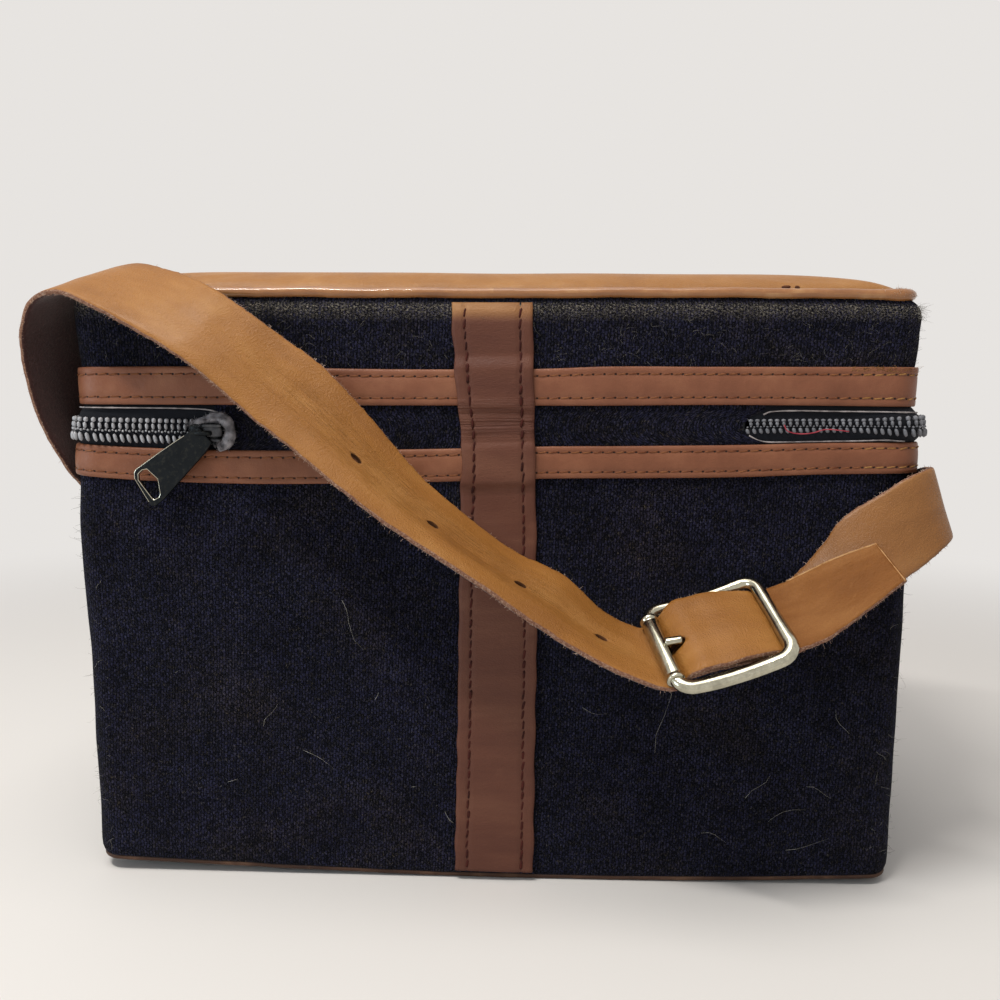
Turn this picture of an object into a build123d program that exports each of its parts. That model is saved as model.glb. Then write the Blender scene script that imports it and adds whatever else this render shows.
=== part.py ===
from build123d import *
import os
from math import cos, sin, radians

# Zip-round camera case with a leather carrying strap.
# Millimetres. +X is the case's width, -Y is the hinge face, +Z is up.
# The origin is the middle of the base, on the surface that the case stands on.

# Driving sizes of the box
CASE_W = 268.0
CASE_D = 120.0
CORNER_R = 8.0
WALL_FOOT = 4.0
GAP_FOOT = 145.4
GAP_HEAD = 158.3
LID_EDGE = 190.4

# Layers of the walls, outside to inside
CLOTH_T = 1.0
BOARD_T = 2.5
LINING_T = 1.2
BAND_T = 1.4
BAND_H = 10.3
UPPER_BAND_H = 11.1
PAD_T = 4.0

# Play between pieces that meet
FIT = 0.2

# Levels in the fabric gap between the two leather bands; the zip lies nearer the lower one
ZIP_Z = 150.3
FOLD_TOP = GAP_HEAD - 0.9
SLOT_X = 84.0
HINGE_CLOTH_T = 1.2

# Zip
TAPE_IN = 0.2
TAPE_T = 0.8
TOOTH_H = 3.2
CHAIN_GAP = 0.4
CHAIN_OUT = 1.0
CHAIN_IN = 1.2
PART_Y = -CASE_D / 2 + CORNER_R + FIT
STOP_L = 2.2
STOP_H = 6.0

# Zip slider: its two plates, their edges, the web between them and the bridge
SLIDER_X = -91.5
SLIDER_L = 10.8
SLIDER_H = 8.2
SLIDER_CORNER_R = 2.6
PLATE_CLEAR = 0.3
FRONT_PLATE_T = 1.7
REAR_PLATE_T = 1.2
WEB_BACK = 3.6
WEB_AHEAD = 0.4
WEB_T = 0.2
FLANGE_L = 5.2
FLANGE_T = 0.5
BRIDGE_IN = 2.1
BRIDGE_OUT = 3.0
BRIDGE_W = 1.2

# Zip pull
PULL_LEAN = 43.0
PULL_OUT = 1.1
PULL_L = 26.6
PULL_T = 1.2
PULL_ROOT_W = 7.6
PULL_NECK_L = 4.5
PULL_NECK_W = 7.8
PULL_END_W = 13.2
PULL_TIP_W = 10.4
PULL_CHAMFER = 1.5
PULL_SLOT_L = 3.7
PULL_SLOT_W = 6.0
PULL_BAR_R = 0.5
PULL_ROOT_CUT_R = 1.2
# Corners of its slanted window: distance along the pull, and across it
PULL_WINDOW = [(19.6, -4.9), (19.9, 0.4), (21.6, 3.9), (24.6, 3.9), (22.6, -4.9)]

# Centre leather strip over the hinge
STRIP_X = 1.5
STRIP_W = 25.6
STRIP_T = 1.5
STRIP_FOOT = 4.3
STRIP_SPLIT_LOW = 154.0
STRIP_SPLIT_HIGH = 159.0

# Piping and the padded top
TOP_PIPE_R = 1.6
TOP_PIPE_IN = 1.5
BASE_PIPE_R = 1.5
BASE_PIPE_IN = 0.9
BASE_PIPE_Z = 2.6
PIPE_SINK = 0.1
PANEL_T = 1.4
# Each outline of the padded top: height, inset from front and back, inset from the sides, corner radius
CROWN = [
    (LID_EDGE, 3.4, 3.4, 4.6),
    (194.4, 3.8, 4.4, 4.6),
    (198.0, 7.8, 13.0, 8.0),
    (200.8, 17.0, 28.0, 15.0),
    (202.4, 38.0, 50.0, 20.0),
]
# Each outline of the base's underside: height, inset and corner radius
BASE_BELLY = [
    (0.0, 15.0, 10.0),
    (0.8, 8.0, 7.0),
    (2.6, 2.5, 5.5),
    (WALL_FOOT, 2.5, 5.5),
]

# Strap
STRAP_T = 2.0
STRAP_W = 25.4
SIDE_STRAP_X = CASE_W / 2 + FIT + STRAP_T / 2
HOLE_R = 1.5

# Rivets that hold the strap's ends to the sides
RIVET_Z = 114.0
RIVET_R = 1.8
RIVET_CLEAR = 0.05
RIVET_HEAD_R = 5.5
RIVET_HEAD_T = 1.5
WASHER_R = 6.0
WASHER_T = 0.8

# Buckle: middle of its frame, and the direction of its long side and of its short side
BUCKLE_AT = Vector(68.9, -81.3, 91.1)
BUCKLE_U = Vector(0.951, 0.088, 0.297).normalized()
BUCKLE_V = Vector(-0.243, 0.811, 0.533).normalized()
BUCKLE_N = BUCKLE_U.cross(BUCKLE_V).normalized()
BUCKLE_W = 35.3
BUCKLE_H = 31.6
BUCKLE_CORNER_R = 4.0
WIRE_R = 2.1
SLEEVE_R = 2.5
SLEEVE_L = BUCKLE_H - 9.0
STUD_L = 6.0
STUD_W = 2.8
STUD_T = 2.2
STUD_RISE = 0.3
STUD_U = -BUCKLE_W / 2 + SLEEVE_R + 2.9
STUD_ROOM = (8.6, 4.0, 8.0)

# Long strap, from its rivet on the left side, over the front corner and down to the buckle.
# Each place is a pair: a point on the lower or front edge, and one on the upper or rear edge.
LONG_STRAP = [
    ((-SIDE_STRAP_X, 0, 97), (-SIDE_STRAP_X, 18, 115)),
    ((-SIDE_STRAP_X, -17, 112.5), (-SIDE_STRAP_X, 1, 130.5)),
    ((-137.4, -28, 119), (-137.4, -10, 137)),
    ((-138.2, -39, 125.5), (-138.0, -21, 144)),
    ((-141.0, -52, 136), (-140.6, -34, 155)),
    ((-146.0, -58, 151), (-143.0, -38, 167)),
    ((-148.2, -62, 166), (-143.5, -39.5, 178)),
    ((-147.4, -65, 180), (-140.6, -43, 191.6)),
    ((-143.2, -67, 188.8), (-131.4, -46, 200.2)),
    ((-135.0, -69, 191.5), (-119.0, -50, 203)),
    ((-121.0, -72, 186.5), (-102.0, -57, 200)),
    ((-109.6, -75, 181), (-88.5, -63, 194)),
    ((-98.5, -77, 175), (-80.0, -65.5, 189)),
    ((-89.5, -78, 169), (-72.5, -66.5, 184)),
    ((-80.2, -78.5, 161.3), (-62.0, -67, 176.5)),
    ((-70.5, -79.5, 153.3), (-53.0, -67.5, 170)),
    ((-59.5, -81.5, 145.2), (-43.5, -68, 160.5)),
    ((-46.0, -84.5, 134.6), (-31.0, -68, 146)),
    ((-33.0, -86.5, 125), (-21.0, -67.5, 134.5)),
    ((-16.5, -87.5, 114.5), (-7.9, -67, 122.9)),
    ((0.0, -88, 103.5), (8.4, -67, 111.5)),
    ((14.8, -88.5, 93.5), (23.0, -67.5, 104.5)),
    ((28.0, -89.5, 85.5), (34.0, -68, 94.5)),
    ((41.3, -90.5, 79.5), (42.0, -68.5, 90)),
]
# Where its free buckle holes are, counted in places from its rivet
LONG_HOLE_PLACES = [16.86, 18.67, 20.37, 22.3]

# Way of both straps through the buckle: distance along it, and height of the upper strap above it
BUCKLE_PASS = [
    (-18.0, -3.7),
    (-13.0, -2.3),
    (-8.0, 0.3),
    (5.0, 0.2),
    (11.5, -1.4),
    (18.0, -3.4),
    (26.0, -3.4),
]
LONG_TIP = [
    ((106.5, -85, 94.5), (103.0, -70, 112.5)),
    ((122.0, -82, 107), (116.5, -71, 121)),
]
# The short strap lies this far under the long one, and starts this far before it
SHORT_DROP = 2.3
SHORT_LEAD = 5.0
SHORT_STRAP = [
    ((109.5, -81, 92), (103.5, -63.5, 114)),
    ((122.0, -75.5, 102), (110.5, -64.0, 124)),
    ((133.5, -70.0, 110), (121.5, -64.0, 131.5)),
    ((141.0, -67.0, 115.5), (130.5, -64.5, 137.5)),
    ((144.5, -62.5, 117.5), (137.4, -61.0, 139.5)),
    ((144.5, -53.0, 115.5), (138.0, -51.0, 138.5)),
    ((140.5, -38.0, 109), (136.8, -37.0, 133.5)),
    ((136.4, -22.0, 104), (SIDE_STRAP_X, -22.0, 129.5)),
    ((SIDE_STRAP_X, -7.0, 101.8), (SIDE_STRAP_X, -7.0, 127.2)),
    ((SIDE_STRAP_X, 9.0, 101), (SIDE_STRAP_X, 9.0, 126.4)),
]

# Half the reach of a cutter that takes in the whole case
FAR = 300.0


def plan(inset, z, radius=None, side_inset=None):
    """Rounded outline of the box, drawn in by inset, at height z."""
    corner = CORNER_R - inset if radius is None else radius
    ends = inset if side_inset is None else side_inset
    outline = RectangleRounded(CASE_W - 2 * ends, CASE_D - 2 * inset, corner)
    return Plane.XY.offset(z) * outline


def ring(outer, inner, low, high):
    """Wall between two insets of the box outline."""
    return extrude(plan(outer, low) - plan(inner, low), high - low)


def slab(inset, low, high):
    """Plate that fills the box outline, drawn in by inset."""
    return extrude(plan(inset, low), high - low)


def block(low, high):
    """Box between its lowest and highest corners."""
    size = [b - a for a, b in zip(low, high)]
    middle = [(a + b) / 2 for a, b in zip(low, high)]
    return Pos(*middle) * Box(*size)


def piping(inset, z, radius):
    """Round cord of leather that follows the box outline."""
    path = plan(inset, z).face().outer_wire()
    start = path @ 0
    across = Plane(origin=start, z_dir=path % 0)
    return sweep(across * Circle(radius), path=path)


def yz_strip(points, x_mid, width):
    """Profile drawn in Y and Z, given its width along X."""
    profile = make_face(Polyline(*[(x_mid - width / 2, y, z) for y, z in points], close=True))
    return extrude(profile, width, dir=(1, 0, 0))


def crown(skin):
    """Padded dome of the lid's top, or what is inside its skin."""
    sections = []
    for i, (z, inset, side_inset, radius) in enumerate(CROWN):
        height = z - skin if i else z
        sections.append(plan(inset + skin, height, radius, side_inset + skin))
    return loft(sections, ruled=True)


def buckle_point(along, across, above):
    """Point given in the buckle's own directions."""
    return BUCKLE_AT + BUCKLE_U * along + BUCKLE_V * across + BUCKLE_N * above


def buckle_plane(along=0.0, across=0.0, above=0.0):
    """Plane of the buckle's frame, moved in its own directions."""
    return Plane(origin=buckle_point(along, across, above), x_dir=BUCKLE_U, z_dir=BUCKLE_N)


def buckle_pairs(drop):
    """Edge pairs of a strap on its way through the buckle."""
    half = STRAP_W / 2
    return [(buckle_point(u, -half, n - drop), buckle_point(u, half, n - drop)) for u, n in BUCKLE_PASS]


def edge_pairs(places):
    """Edge pairs as vectors."""
    return [(Vector(*a), Vector(*b)) for a, b in places]


def middle_of(pair):
    """Point midway between a strap's two edges."""
    return (pair[0] + pair[1]) * 0.5


def face_normal(pairs, i):
    """Direction out of the strap's grain side at one place."""
    before = middle_of(pairs[max(i - 1, 0)])
    after = middle_of(pairs[min(i + 1, len(pairs) - 1)])
    return (after - before).cross(pairs[i][1] - pairs[i][0]).normalized()


def ribbon(pairs, thickness):
    """Leather strap through pairs of edge points."""
    sections = []
    for i, (a, b) in enumerate(pairs):
        lift = face_normal(pairs, i) * (thickness / 2)
        corners = [a - lift, b - lift, b + lift, a + lift]
        sections.append(make_face(Polyline(*corners, close=True)))
    return loft(sections, ruled=True)


def strap_hole(pairs, place):
    """Cutter for one buckle hole, at a place between two edge pairs."""
    i = int(place)
    share = place - i
    at = middle_of(pairs[i]) * (1 - share) + middle_of(pairs[i + 1]) * share
    out = face_normal(pairs, i)
    return Plane(origin=at, z_dir=out) * Cylinder(HOLE_R, 4 * STRAP_T)


def side_cylinder(side, radius, near, far, z):
    """Cylinder along X on one side of the case, between two distances from the middle."""
    middle = side * (near + far) / 2
    return Pos(middle, 0, z) * Rot(0, 90, 0) * Cylinder(radius, far - near)


def rivet_hole(side, radius=RIVET_R + RIVET_CLEAR):
    """Cutter for one rivet's hole through everything on its side."""
    return side_cylinder(side, radius, CASE_W / 2 - 4 * BOARD_T, CASE_W / 2 + 4 * STRAP_T, RIVET_Z)


def sides_only(solid):
    """Part of a ring on the two sides and the back."""
    return solid & block((-FAR, PART_Y + FIT, 0), (FAR, FAR, FAR))


def front_end(solid, side):
    """Part of a ring on the hinge face, from the slot's end round the front corner."""
    near, far = sorted((side * SLOT_X, side * FAR))
    return solid & block((near, -FAR, 0), (far, PART_Y - FIT, FAR))


def make_body():
    """Box, its covering and its lining."""
    floor_top = WALL_FOOT + BOARD_T
    pad_top = floor_top + PAD_T
    rim = GAP_FOOT - 2 * FIT
    board_in = CLOTH_T + BOARD_T
    shell = ring(CLOTH_T, board_in, floor_top, rim) + slab(CLOTH_T, WALL_FOOT, floor_top)
    lining = ring(board_in, board_in + LINING_T, pad_top, rim)
    lining += slab(board_in, pad_top, pad_top + LINING_T)
    cover = ring(0, CLOTH_T, WALL_FOOT, GAP_FOOT)
    for side in (-1, 1):
        shell -= rivet_hole(side)
        cover -= rivet_hole(side)
        lining -= side_cylinder(side, WASHER_R, CASE_W / 2 - board_in - WASHER_T, CASE_W / 2, RIVET_Z)
    return {
        "body_shell": shell,
        "body_cover": cover,
        "body_lining": lining,
        "base_pad": slab(board_in + FIT, floor_top, pad_top),
        "base_panel": loft([plan(inset, z, radius) for z, inset, radius in BASE_BELLY], ruled=True),
        "base_piping": piping(BASE_PIPE_IN, BASE_PIPE_Z, BASE_PIPE_R) - slab(0, WALL_FOOT, 2 * WALL_FOOT),
        "lower_trim_band": ring(-BAND_T, 0, GAP_FOOT - BAND_H, GAP_FOOT),
    }


def make_lid():
    """Lid tray, its covering, lining and padded top."""
    board_in = CLOTH_T + BOARD_T
    board_foot = GAP_HEAD + FIT
    ceiling = LID_EDGE - BOARD_T
    shell = ring(CLOTH_T, board_in, board_foot, ceiling) + slab(CLOTH_T, ceiling, LID_EDGE)
    lining = ring(board_in, board_in + LINING_T, board_foot, ceiling - LINING_T)
    lining += slab(board_in, ceiling - LINING_T, ceiling)
    inner = crown(PANEL_T)
    cord = piping(TOP_PIPE_IN, LID_EDGE + TOP_PIPE_R - PIPE_SINK, TOP_PIPE_R)
    return {
        "lid_shell": shell,
        "lid_cover": ring(0, CLOTH_T, GAP_HEAD, LID_EDGE),
        "lid_lining": lining,
        "top_panel": crown(0) - inner,
        "top_padding": inner,
        "top_piping": cord - slab(0, LID_EDGE - TOP_PIPE_R, LID_EDGE),
        "upper_trim_band": ring(-BAND_T, 0, GAP_HEAD, GAP_HEAD + UPPER_BAND_H),
    }


def make_hinge():
    """Fabric and leather that fold when the lid opens."""
    front = -CASE_D / 2
    over = front - BAND_T
    dip = front - BAND_T / 2
    fabric = block((-SLOT_X, front, GAP_FOOT), (SLOT_X, front + HINGE_CLOTH_T, FOLD_TOP))
    band_low = GAP_FOOT - BAND_H
    band_high = GAP_HEAD + UPPER_BAND_H
    low = [
        (front, STRIP_FOOT),
        (front, band_low - STRIP_T),
        (over, band_low),
        (over, GAP_FOOT),
        (dip, GAP_FOOT + STRIP_T),
        (dip, STRIP_SPLIT_LOW),
    ]
    high = [
        (over, STRIP_SPLIT_HIGH),
        (over, band_high),
        (front, band_high + STRIP_T),
        (front, LID_EDGE - PIPE_SINK),
    ]
    low_back = [(y - STRIP_T, z) for y, z in reversed(low)]
    high_back = [(y - STRIP_T, z) for y, z in reversed(high)]
    return {
        "hinge_fabric": fabric,
        "hinge_strip_body": yz_strip(low + low_back, STRIP_X, STRIP_W),
        "hinge_strip_lid": yz_strip(high + high_back, STRIP_X, STRIP_W),
    }


def make_zip():
    """Tapes and rows of teeth, closed all round."""
    low_top = ZIP_Z - CHAIN_GAP / 2
    high_foot = ZIP_Z + CHAIN_GAP / 2
    tape_in = TAPE_IN + TAPE_T
    low_tape = ring(TAPE_IN, tape_in, GAP_FOOT, low_top - TOOTH_H)
    high_tape = ring(TAPE_IN, tape_in, high_foot + TOOTH_H, GAP_HEAD)
    fold_tape = ring(TAPE_IN, tape_in, high_foot + TOOTH_H, FOLD_TOP)
    low_chain = ring(-CHAIN_OUT, CHAIN_IN, low_top - TOOTH_H, low_top)
    high_chain = ring(-CHAIN_OUT, CHAIN_IN, high_foot, high_foot + TOOTH_H)
    parts = {
        "zip_tape_lower": sides_only(low_tape),
        "zip_tape_upper": sides_only(high_tape),
        "zip_teeth_lower": sides_only(low_chain),
        "zip_teeth_upper": sides_only(high_chain),
    }
    stops = []
    for name, side in (("left", -1), ("right", 1)):
        tapes = [front_end(low_tape, side), front_end(fold_tape, side)]
        chains = [front_end(low_chain, side), front_end(high_chain, side)]
        left, right = sorted((side * (SLOT_X + FIT), side * (SLOT_X + FIT + STOP_L)))
        out = -CASE_D / 2 - CHAIN_OUT - FIT
        back = -CASE_D / 2 + CHAIN_IN + FIT
        stop = block((left, out, ZIP_Z - STOP_H / 2), (right, back, ZIP_Z + STOP_H / 2))
        parts["zip_tape_front_" + name] = Compound(children=tapes)
        parts["zip_teeth_front_" + name] = Compound(children=[c - stop for c in chains])
        stops.append(stop)
    parts["zip_stops"] = Compound(children=stops)
    return parts


def make_slider():
    """Zip slider and its bridge, astride the closed teeth on the hinge face."""
    front = -CASE_D / 2
    plate_in = front - CHAIN_OUT - PLATE_CLEAR
    plate_out = plate_in - FRONT_PLATE_T
    rear_in = front + CHAIN_IN + PLATE_CLEAR
    rear_out = rear_in + REAR_PLATE_T
    outline = Rot(90, 0, 0) * RectangleRounded(SLIDER_L, SLIDER_H, SLIDER_CORNER_R)
    front_plate = Pos(SLIDER_X, plate_in, ZIP_Z) * extrude(outline, FRONT_PLATE_T)
    rear_plate = Pos(SLIDER_X, rear_out, ZIP_Z) * extrude(outline, REAR_PLATE_T)
    web_low = (SLIDER_X - WEB_BACK, plate_in, ZIP_Z - WEB_T / 2)
    web_high = (SLIDER_X + WEB_AHEAD, rear_in, ZIP_Z + WEB_T / 2)
    slider = front_plate + rear_plate + block(web_low, web_high)
    for side in (-1, 1):
        low, high = sorted(ZIP_Z + side * (SLIDER_H / 2 - inset) for inset in (FLANGE_T, 0))
        flange_high = (SLIDER_X + FLANGE_L / 2, front - FIT / 2, high)
        slider += block((SLIDER_X - FLANGE_L / 2, plate_in, low), flange_high)
    arch_foot = Pos(SLIDER_X, plate_out, ZIP_Z - BRIDGE_W / 2)
    arch = extrude(arch_foot * (Circle(BRIDGE_OUT) - Circle(BRIDGE_IN)), BRIDGE_W)
    arch &= block((SLIDER_X - SLIDER_L, -FAR, 0), (SLIDER_X + SLIDER_L, plate_out, FAR))
    return {"zip_slider": slider, "zip_bridge": arch}


def pull_axis():
    """Direction of the pull's pivot bar, in the hinge face."""
    lean = radians(PULL_LEAN)
    return Vector(sin(lean), 0, -cos(lean))


def pull_point():
    """Middle of the pull's pivot bar."""
    plate_out = -CASE_D / 2 - CHAIN_OUT - PLATE_CLEAR - FRONT_PLATE_T
    return Vector(SLIDER_X, plate_out - PULL_OUT, ZIP_Z)


def make_pull():
    """Flat tapered zip pull that hangs down and to the left."""
    lean = radians(PULL_LEAN)
    along = Vector(-cos(lean), 0, -sin(lean))
    frame = Plane(origin=pull_point(), x_dir=along, z_dir=(0, -1, 0))
    half = [
        (0, PULL_ROOT_W / 2),
        (PULL_NECK_L, PULL_NECK_W / 2),
        (PULL_L - PULL_CHAMFER, PULL_END_W / 2),
        (PULL_L, PULL_TIP_W / 2),
    ]
    mirrored = [(x, -y) for x, y in reversed(half)]
    outline = make_face(Polyline(*half, *mirrored, close=True))
    slot = Pos(PULL_SLOT_L / 2 + 2 * FIT, 0) * RectangleRounded(PULL_SLOT_L, PULL_SLOT_W, PULL_BAR_R)
    window = make_face(Polyline(*PULL_WINDOW, close=True))
    plate = extrude(frame * (outline - slot - window), PULL_T / 2, both=True)
    pivot = Plane(origin=pull_point(), z_dir=pull_axis())
    bar = pivot * Cylinder(PULL_BAR_R, PULL_ROOT_W)
    root = pivot * Cylinder(PULL_ROOT_CUT_R, PULL_SLOT_W)
    return {"zip_pull": plate - root + bar}


def make_straps():
    """Long strap, short strap and what holds their ends to the sides."""
    stud_room = buckle_plane(STUD_U - FIT, 0, 0) * Box(*STUD_ROOM)
    long_pairs = edge_pairs(LONG_STRAP) + buckle_pairs(0) + edge_pairs(LONG_TIP)
    first = buckle_pairs(SHORT_DROP)[0]
    lead = BUCKLE_U * SHORT_LEAD
    short_pairs = [(first[0] - lead, first[1] - lead)]
    short_pairs += buckle_pairs(SHORT_DROP) + edge_pairs(SHORT_STRAP)
    long_strap = ribbon(long_pairs, STRAP_T) - stud_room
    for place in LONG_HOLE_PLACES:
        long_strap -= strap_hole(long_pairs, place)
    short_strap = ribbon(short_pairs, STRAP_T) - stud_room
    long_strap -= rivet_hole(-1)
    short_strap -= rivet_hole(1)
    strap_out = SIDE_STRAP_X + STRAP_T / 2
    wall_in = CASE_W / 2 - CLOTH_T - BOARD_T - WASHER_T
    rivets = []
    washers = []
    for side in (-1, 1):
        shaft = side_cylinder(side, RIVET_R, wall_in, strap_out, RIVET_Z)
        head = side_cylinder(side, RIVET_HEAD_R, strap_out, strap_out + RIVET_HEAD_T, RIVET_Z)
        rivets.append(shaft + head)
        washer = side_cylinder(side, WASHER_R, wall_in, wall_in + WASHER_T, RIVET_Z)
        washers.append(washer - rivet_hole(side))
    return {
        "strap_long": long_strap,
        "strap_short": short_strap,
        "strap_rivets": Compound(children=rivets),
        "rivet_washers": Compound(children=washers),
    }


def make_buckle():
    """Wire frame with a sleeve on its left bar and a fixed stud."""
    plane = buckle_plane()
    path = (plane * RectangleRounded(BUCKLE_W, BUCKLE_H, BUCKLE_CORNER_R)).face().outer_wire()
    frame = sweep(Plane(origin=path @ 0, z_dir=path % 0) * Circle(WIRE_R), path=path)
    bar = Plane(origin=buckle_point(-BUCKLE_W / 2, 0, 0), z_dir=BUCKLE_V)
    tube = Cylinder(SLEEVE_R, SLEEVE_L)
    sleeve = bar * (tube - Cylinder(WIRE_R + RIVET_CLEAR, 2 * SLEEVE_L))
    stud = buckle_plane(STUD_U, 0, STUD_RISE) * Box(STUD_L, STUD_W, STUD_T) - bar * tube
    return {"buckle_frame": frame, "buckle_sleeve": sleeve, "buckle_stud": stud}


def main():
    """Make every piece and write it under its own name."""
    os.makedirs("parts", exist_ok=True)
    pieces = {}
    makers = (make_body, make_lid, make_hinge, make_zip, make_slider, make_pull, make_straps, make_buckle)
    for make in makers:
        pieces.update(make())
    for name, piece in pieces.items():
        export_step(piece, os.path.join("parts", name + ".step"))
    print(len(pieces), "pieces")


main()
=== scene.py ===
"""Camera case: a cloth-covered box with a zip-round lid, leather trim and a buckled strap.

Sizes are in millimetres until a mesh is written, which is in metres.
Wall space is (s, out, z): the distance round the box from the middle of the hinge face, the distance out of
it and the height.
"""

import math

import bmesh
import bpy
import numpy as np
from mathutils import Matrix, Vector


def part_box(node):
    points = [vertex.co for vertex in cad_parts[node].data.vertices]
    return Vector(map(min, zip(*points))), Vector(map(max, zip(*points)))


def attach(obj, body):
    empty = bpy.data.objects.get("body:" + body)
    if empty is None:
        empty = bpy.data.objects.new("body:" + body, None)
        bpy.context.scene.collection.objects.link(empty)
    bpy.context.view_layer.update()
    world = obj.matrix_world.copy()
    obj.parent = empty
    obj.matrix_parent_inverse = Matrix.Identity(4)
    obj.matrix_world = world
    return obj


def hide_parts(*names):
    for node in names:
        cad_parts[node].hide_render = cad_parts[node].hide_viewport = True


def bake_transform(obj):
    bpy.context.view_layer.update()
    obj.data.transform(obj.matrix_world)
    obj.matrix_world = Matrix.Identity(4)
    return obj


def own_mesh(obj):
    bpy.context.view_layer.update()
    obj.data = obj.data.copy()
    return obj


MM = 0.001

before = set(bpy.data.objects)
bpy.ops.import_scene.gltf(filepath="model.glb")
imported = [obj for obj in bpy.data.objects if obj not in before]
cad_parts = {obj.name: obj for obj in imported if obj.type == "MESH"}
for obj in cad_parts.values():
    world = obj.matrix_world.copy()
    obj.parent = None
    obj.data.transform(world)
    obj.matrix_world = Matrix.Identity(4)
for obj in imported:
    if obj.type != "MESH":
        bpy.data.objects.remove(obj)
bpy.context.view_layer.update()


def extent(node):
    """Lowest and highest corner of a CAD node, in millimetres."""
    low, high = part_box(node)
    return np.array(low) / MM, np.array(high) / MM


# Driving sizes, from the frame
COVER_LOW, COVER_HIGH = extent("body_cover")
LID_LOW, LID_HIGH = extent("lid_cover")
LOWER_BAND_LOW, LOWER_BAND_HIGH = extent("lower_trim_band")
UPPER_BAND_LOW, UPPER_BAND_HIGH = extent("upper_trim_band")
HALF_W = COVER_HIGH[0]
HALF_D = COVER_HIGH[1]
WALL_FOOT = COVER_LOW[2]
GAP_FOOT = COVER_HIGH[2]
GAP_HEAD = LID_LOW[2]
LID_EDGE = LID_HIGH[2]
BAND_T = LOWER_BAND_HIGH[0] - HALF_W
BAND_H = LOWER_BAND_HIGH[2] - LOWER_BAND_LOW[2]
UPPER_BAND_H = UPPER_BAND_HIGH[2] - UPPER_BAND_LOW[2]
SLIDER_LOW, SLIDER_HIGH = extent("zip_slider")
SLIDER_X = (SLIDER_LOW[0] + SLIDER_HIGH[0]) / 2
ZIP_Z = (SLIDER_LOW[2] + SLIDER_HIGH[2]) / 2
SLOT_X = extent("hinge_fabric")[1][0]
CORNER_R = 8.0
CLOTH_T = 1.0
BOARD_T = 2.5
CLOTH_GAP = 0.1

# The covering's lean, from the photograph: height, then how far each side stands out
LEFT_LEAN = [(4, -0.8), (18, -0.5), (41, 0), (76, 0.3), (100, 1.9), (120, 2.5), (134, 1.8),
             (146, 1.2), (158, -0.4), (168, -0.2), (180, 0.9), (192, 2.2), (206, 2.2)]
RIGHT_LEAN = [(4, -0.3), (30, -0.2), (52, 0), (84, 0.5), (101, 0.6), (138, 1.0), (148, 0.7),
              (159, -0.6), (167, -0.6), (172, 0.3), (180, 0.8), (189.5, 0.7), (193, -1.0), (206, -1.2)]
# How far the hinge face's lines rise or sag along its width: at each height, places and rises
RISE = [
    (2.0, [(-134, 3.2), (-110, 2.4), (-50, 0.3), (20, -0.8), (60, -0.6), (110, 0.8), (134, 1.8)]),
    (50.0, [(-134, 0.3), (-70, -0.3), (0, -0.2), (70, 0.1), (134, 0.5)]),
    (140.3, [(-134, -0.6), (-118, -1.8), (-76, -3.0), (-45, -2.5), (-16, -1.6), (18, -0.2), (50, 0.3),
             (82, 1.1), (100, 2.0), (120, 2.5), (134, 2.8)]),
    (158.3, [(-134, -1.1), (-108, -1.0), (-40, -0.7), (0, -0.4), (34, -0.2), (66, 0.3), (100, 0.4),
             (134, 0.2)]),
    (169.4, [(-134, -0.4), (-108, 0.0), (-16, -0.3), (18, 0.2), (34, 0.9), (66, 1.1), (98, 1.3),
             (134, 1.5)]),
    (190.0, [(-134, 0.0), (-60, -0.1), (0, -0.1), (60, 0.35), (134, 0.1)]),
]


def keyed(keys, x):
    """Smooth curve through keyed values."""
    xs, ys = np.array(keys, float).T
    slope = np.gradient(ys, xs)
    x = np.clip(x, xs[0], xs[-1])
    i = np.clip(np.searchsorted(xs, x) - 1, 0, len(xs) - 2)
    h = xs[i + 1] - xs[i]
    t = (x - xs[i]) / h
    a = (1 + 2 * t) * (1 - t) ** 2
    b = t * (1 - t) ** 2
    c = t * t * (3 - 2 * t)
    d = t * t * (t - 1)
    return a * ys[i] + b * h * slope[i] + c * ys[i + 1] + d * h * slope[i + 1]


def through(keys, places):
    """Smooth curves through rows of values, one for each column.

    The rows are at 0, 1, 2 and so on. Places are where the curves are read, or how many even ones there are.
    """
    stations = np.arange(len(keys))
    if np.ndim(places) == 0:
        places = np.linspace(0, stations[-1], places)
    return [keyed(np.stack([stations, column], -1), places) for column in np.array(keys, float).T]


def eased(t):
    """0 to 1 with level ends."""
    t = np.clip(t, 0, 1)
    return t * t * (3 - 2 * t)


def ripple(points, length, seed):
    """Smooth noise of about -1 to 1 over points, with bumps about length apart, as a sum of waves."""
    draw = np.random.default_rng(seed)
    total = np.zeros(points.shape[:-1])
    for _ in range(6):
        direction = draw.normal(size=points.shape[-1])
        direction /= np.linalg.norm(direction)
        wave = 2 * math.pi / (length * draw.uniform(0.7, 1.5))
        total += np.sin(points @ direction * wave + draw.uniform(0, 6.28))
    return total / 3.2


# The box outline as straight runs joined by corner arcs
RUN_X = HALF_W - CORNER_R
RUN_Y = HALF_D - CORNER_R
ARC = math.pi / 2 * CORNER_R
KNOTS = np.cumsum([0, RUN_X, ARC, 2 * RUN_Y, ARC, 2 * RUN_X, ARC, 2 * RUN_Y, ARC, RUN_X])
LOOP = KNOTS[-1]
CORNER_START, CORNER_END = KNOTS[1:3]
TURN = np.radians([-90, -90, 0, 0, 90, 90, 180, 180, 270, 270])
INNER_X = np.array([0, 1, 1, 1, 1, -1, -1, -1, -1, 0]) * RUN_X
INNER_Y = np.array([-1, -1, -1, 1, 1, 1, 1, -1, -1, -1]) * RUN_Y


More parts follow.
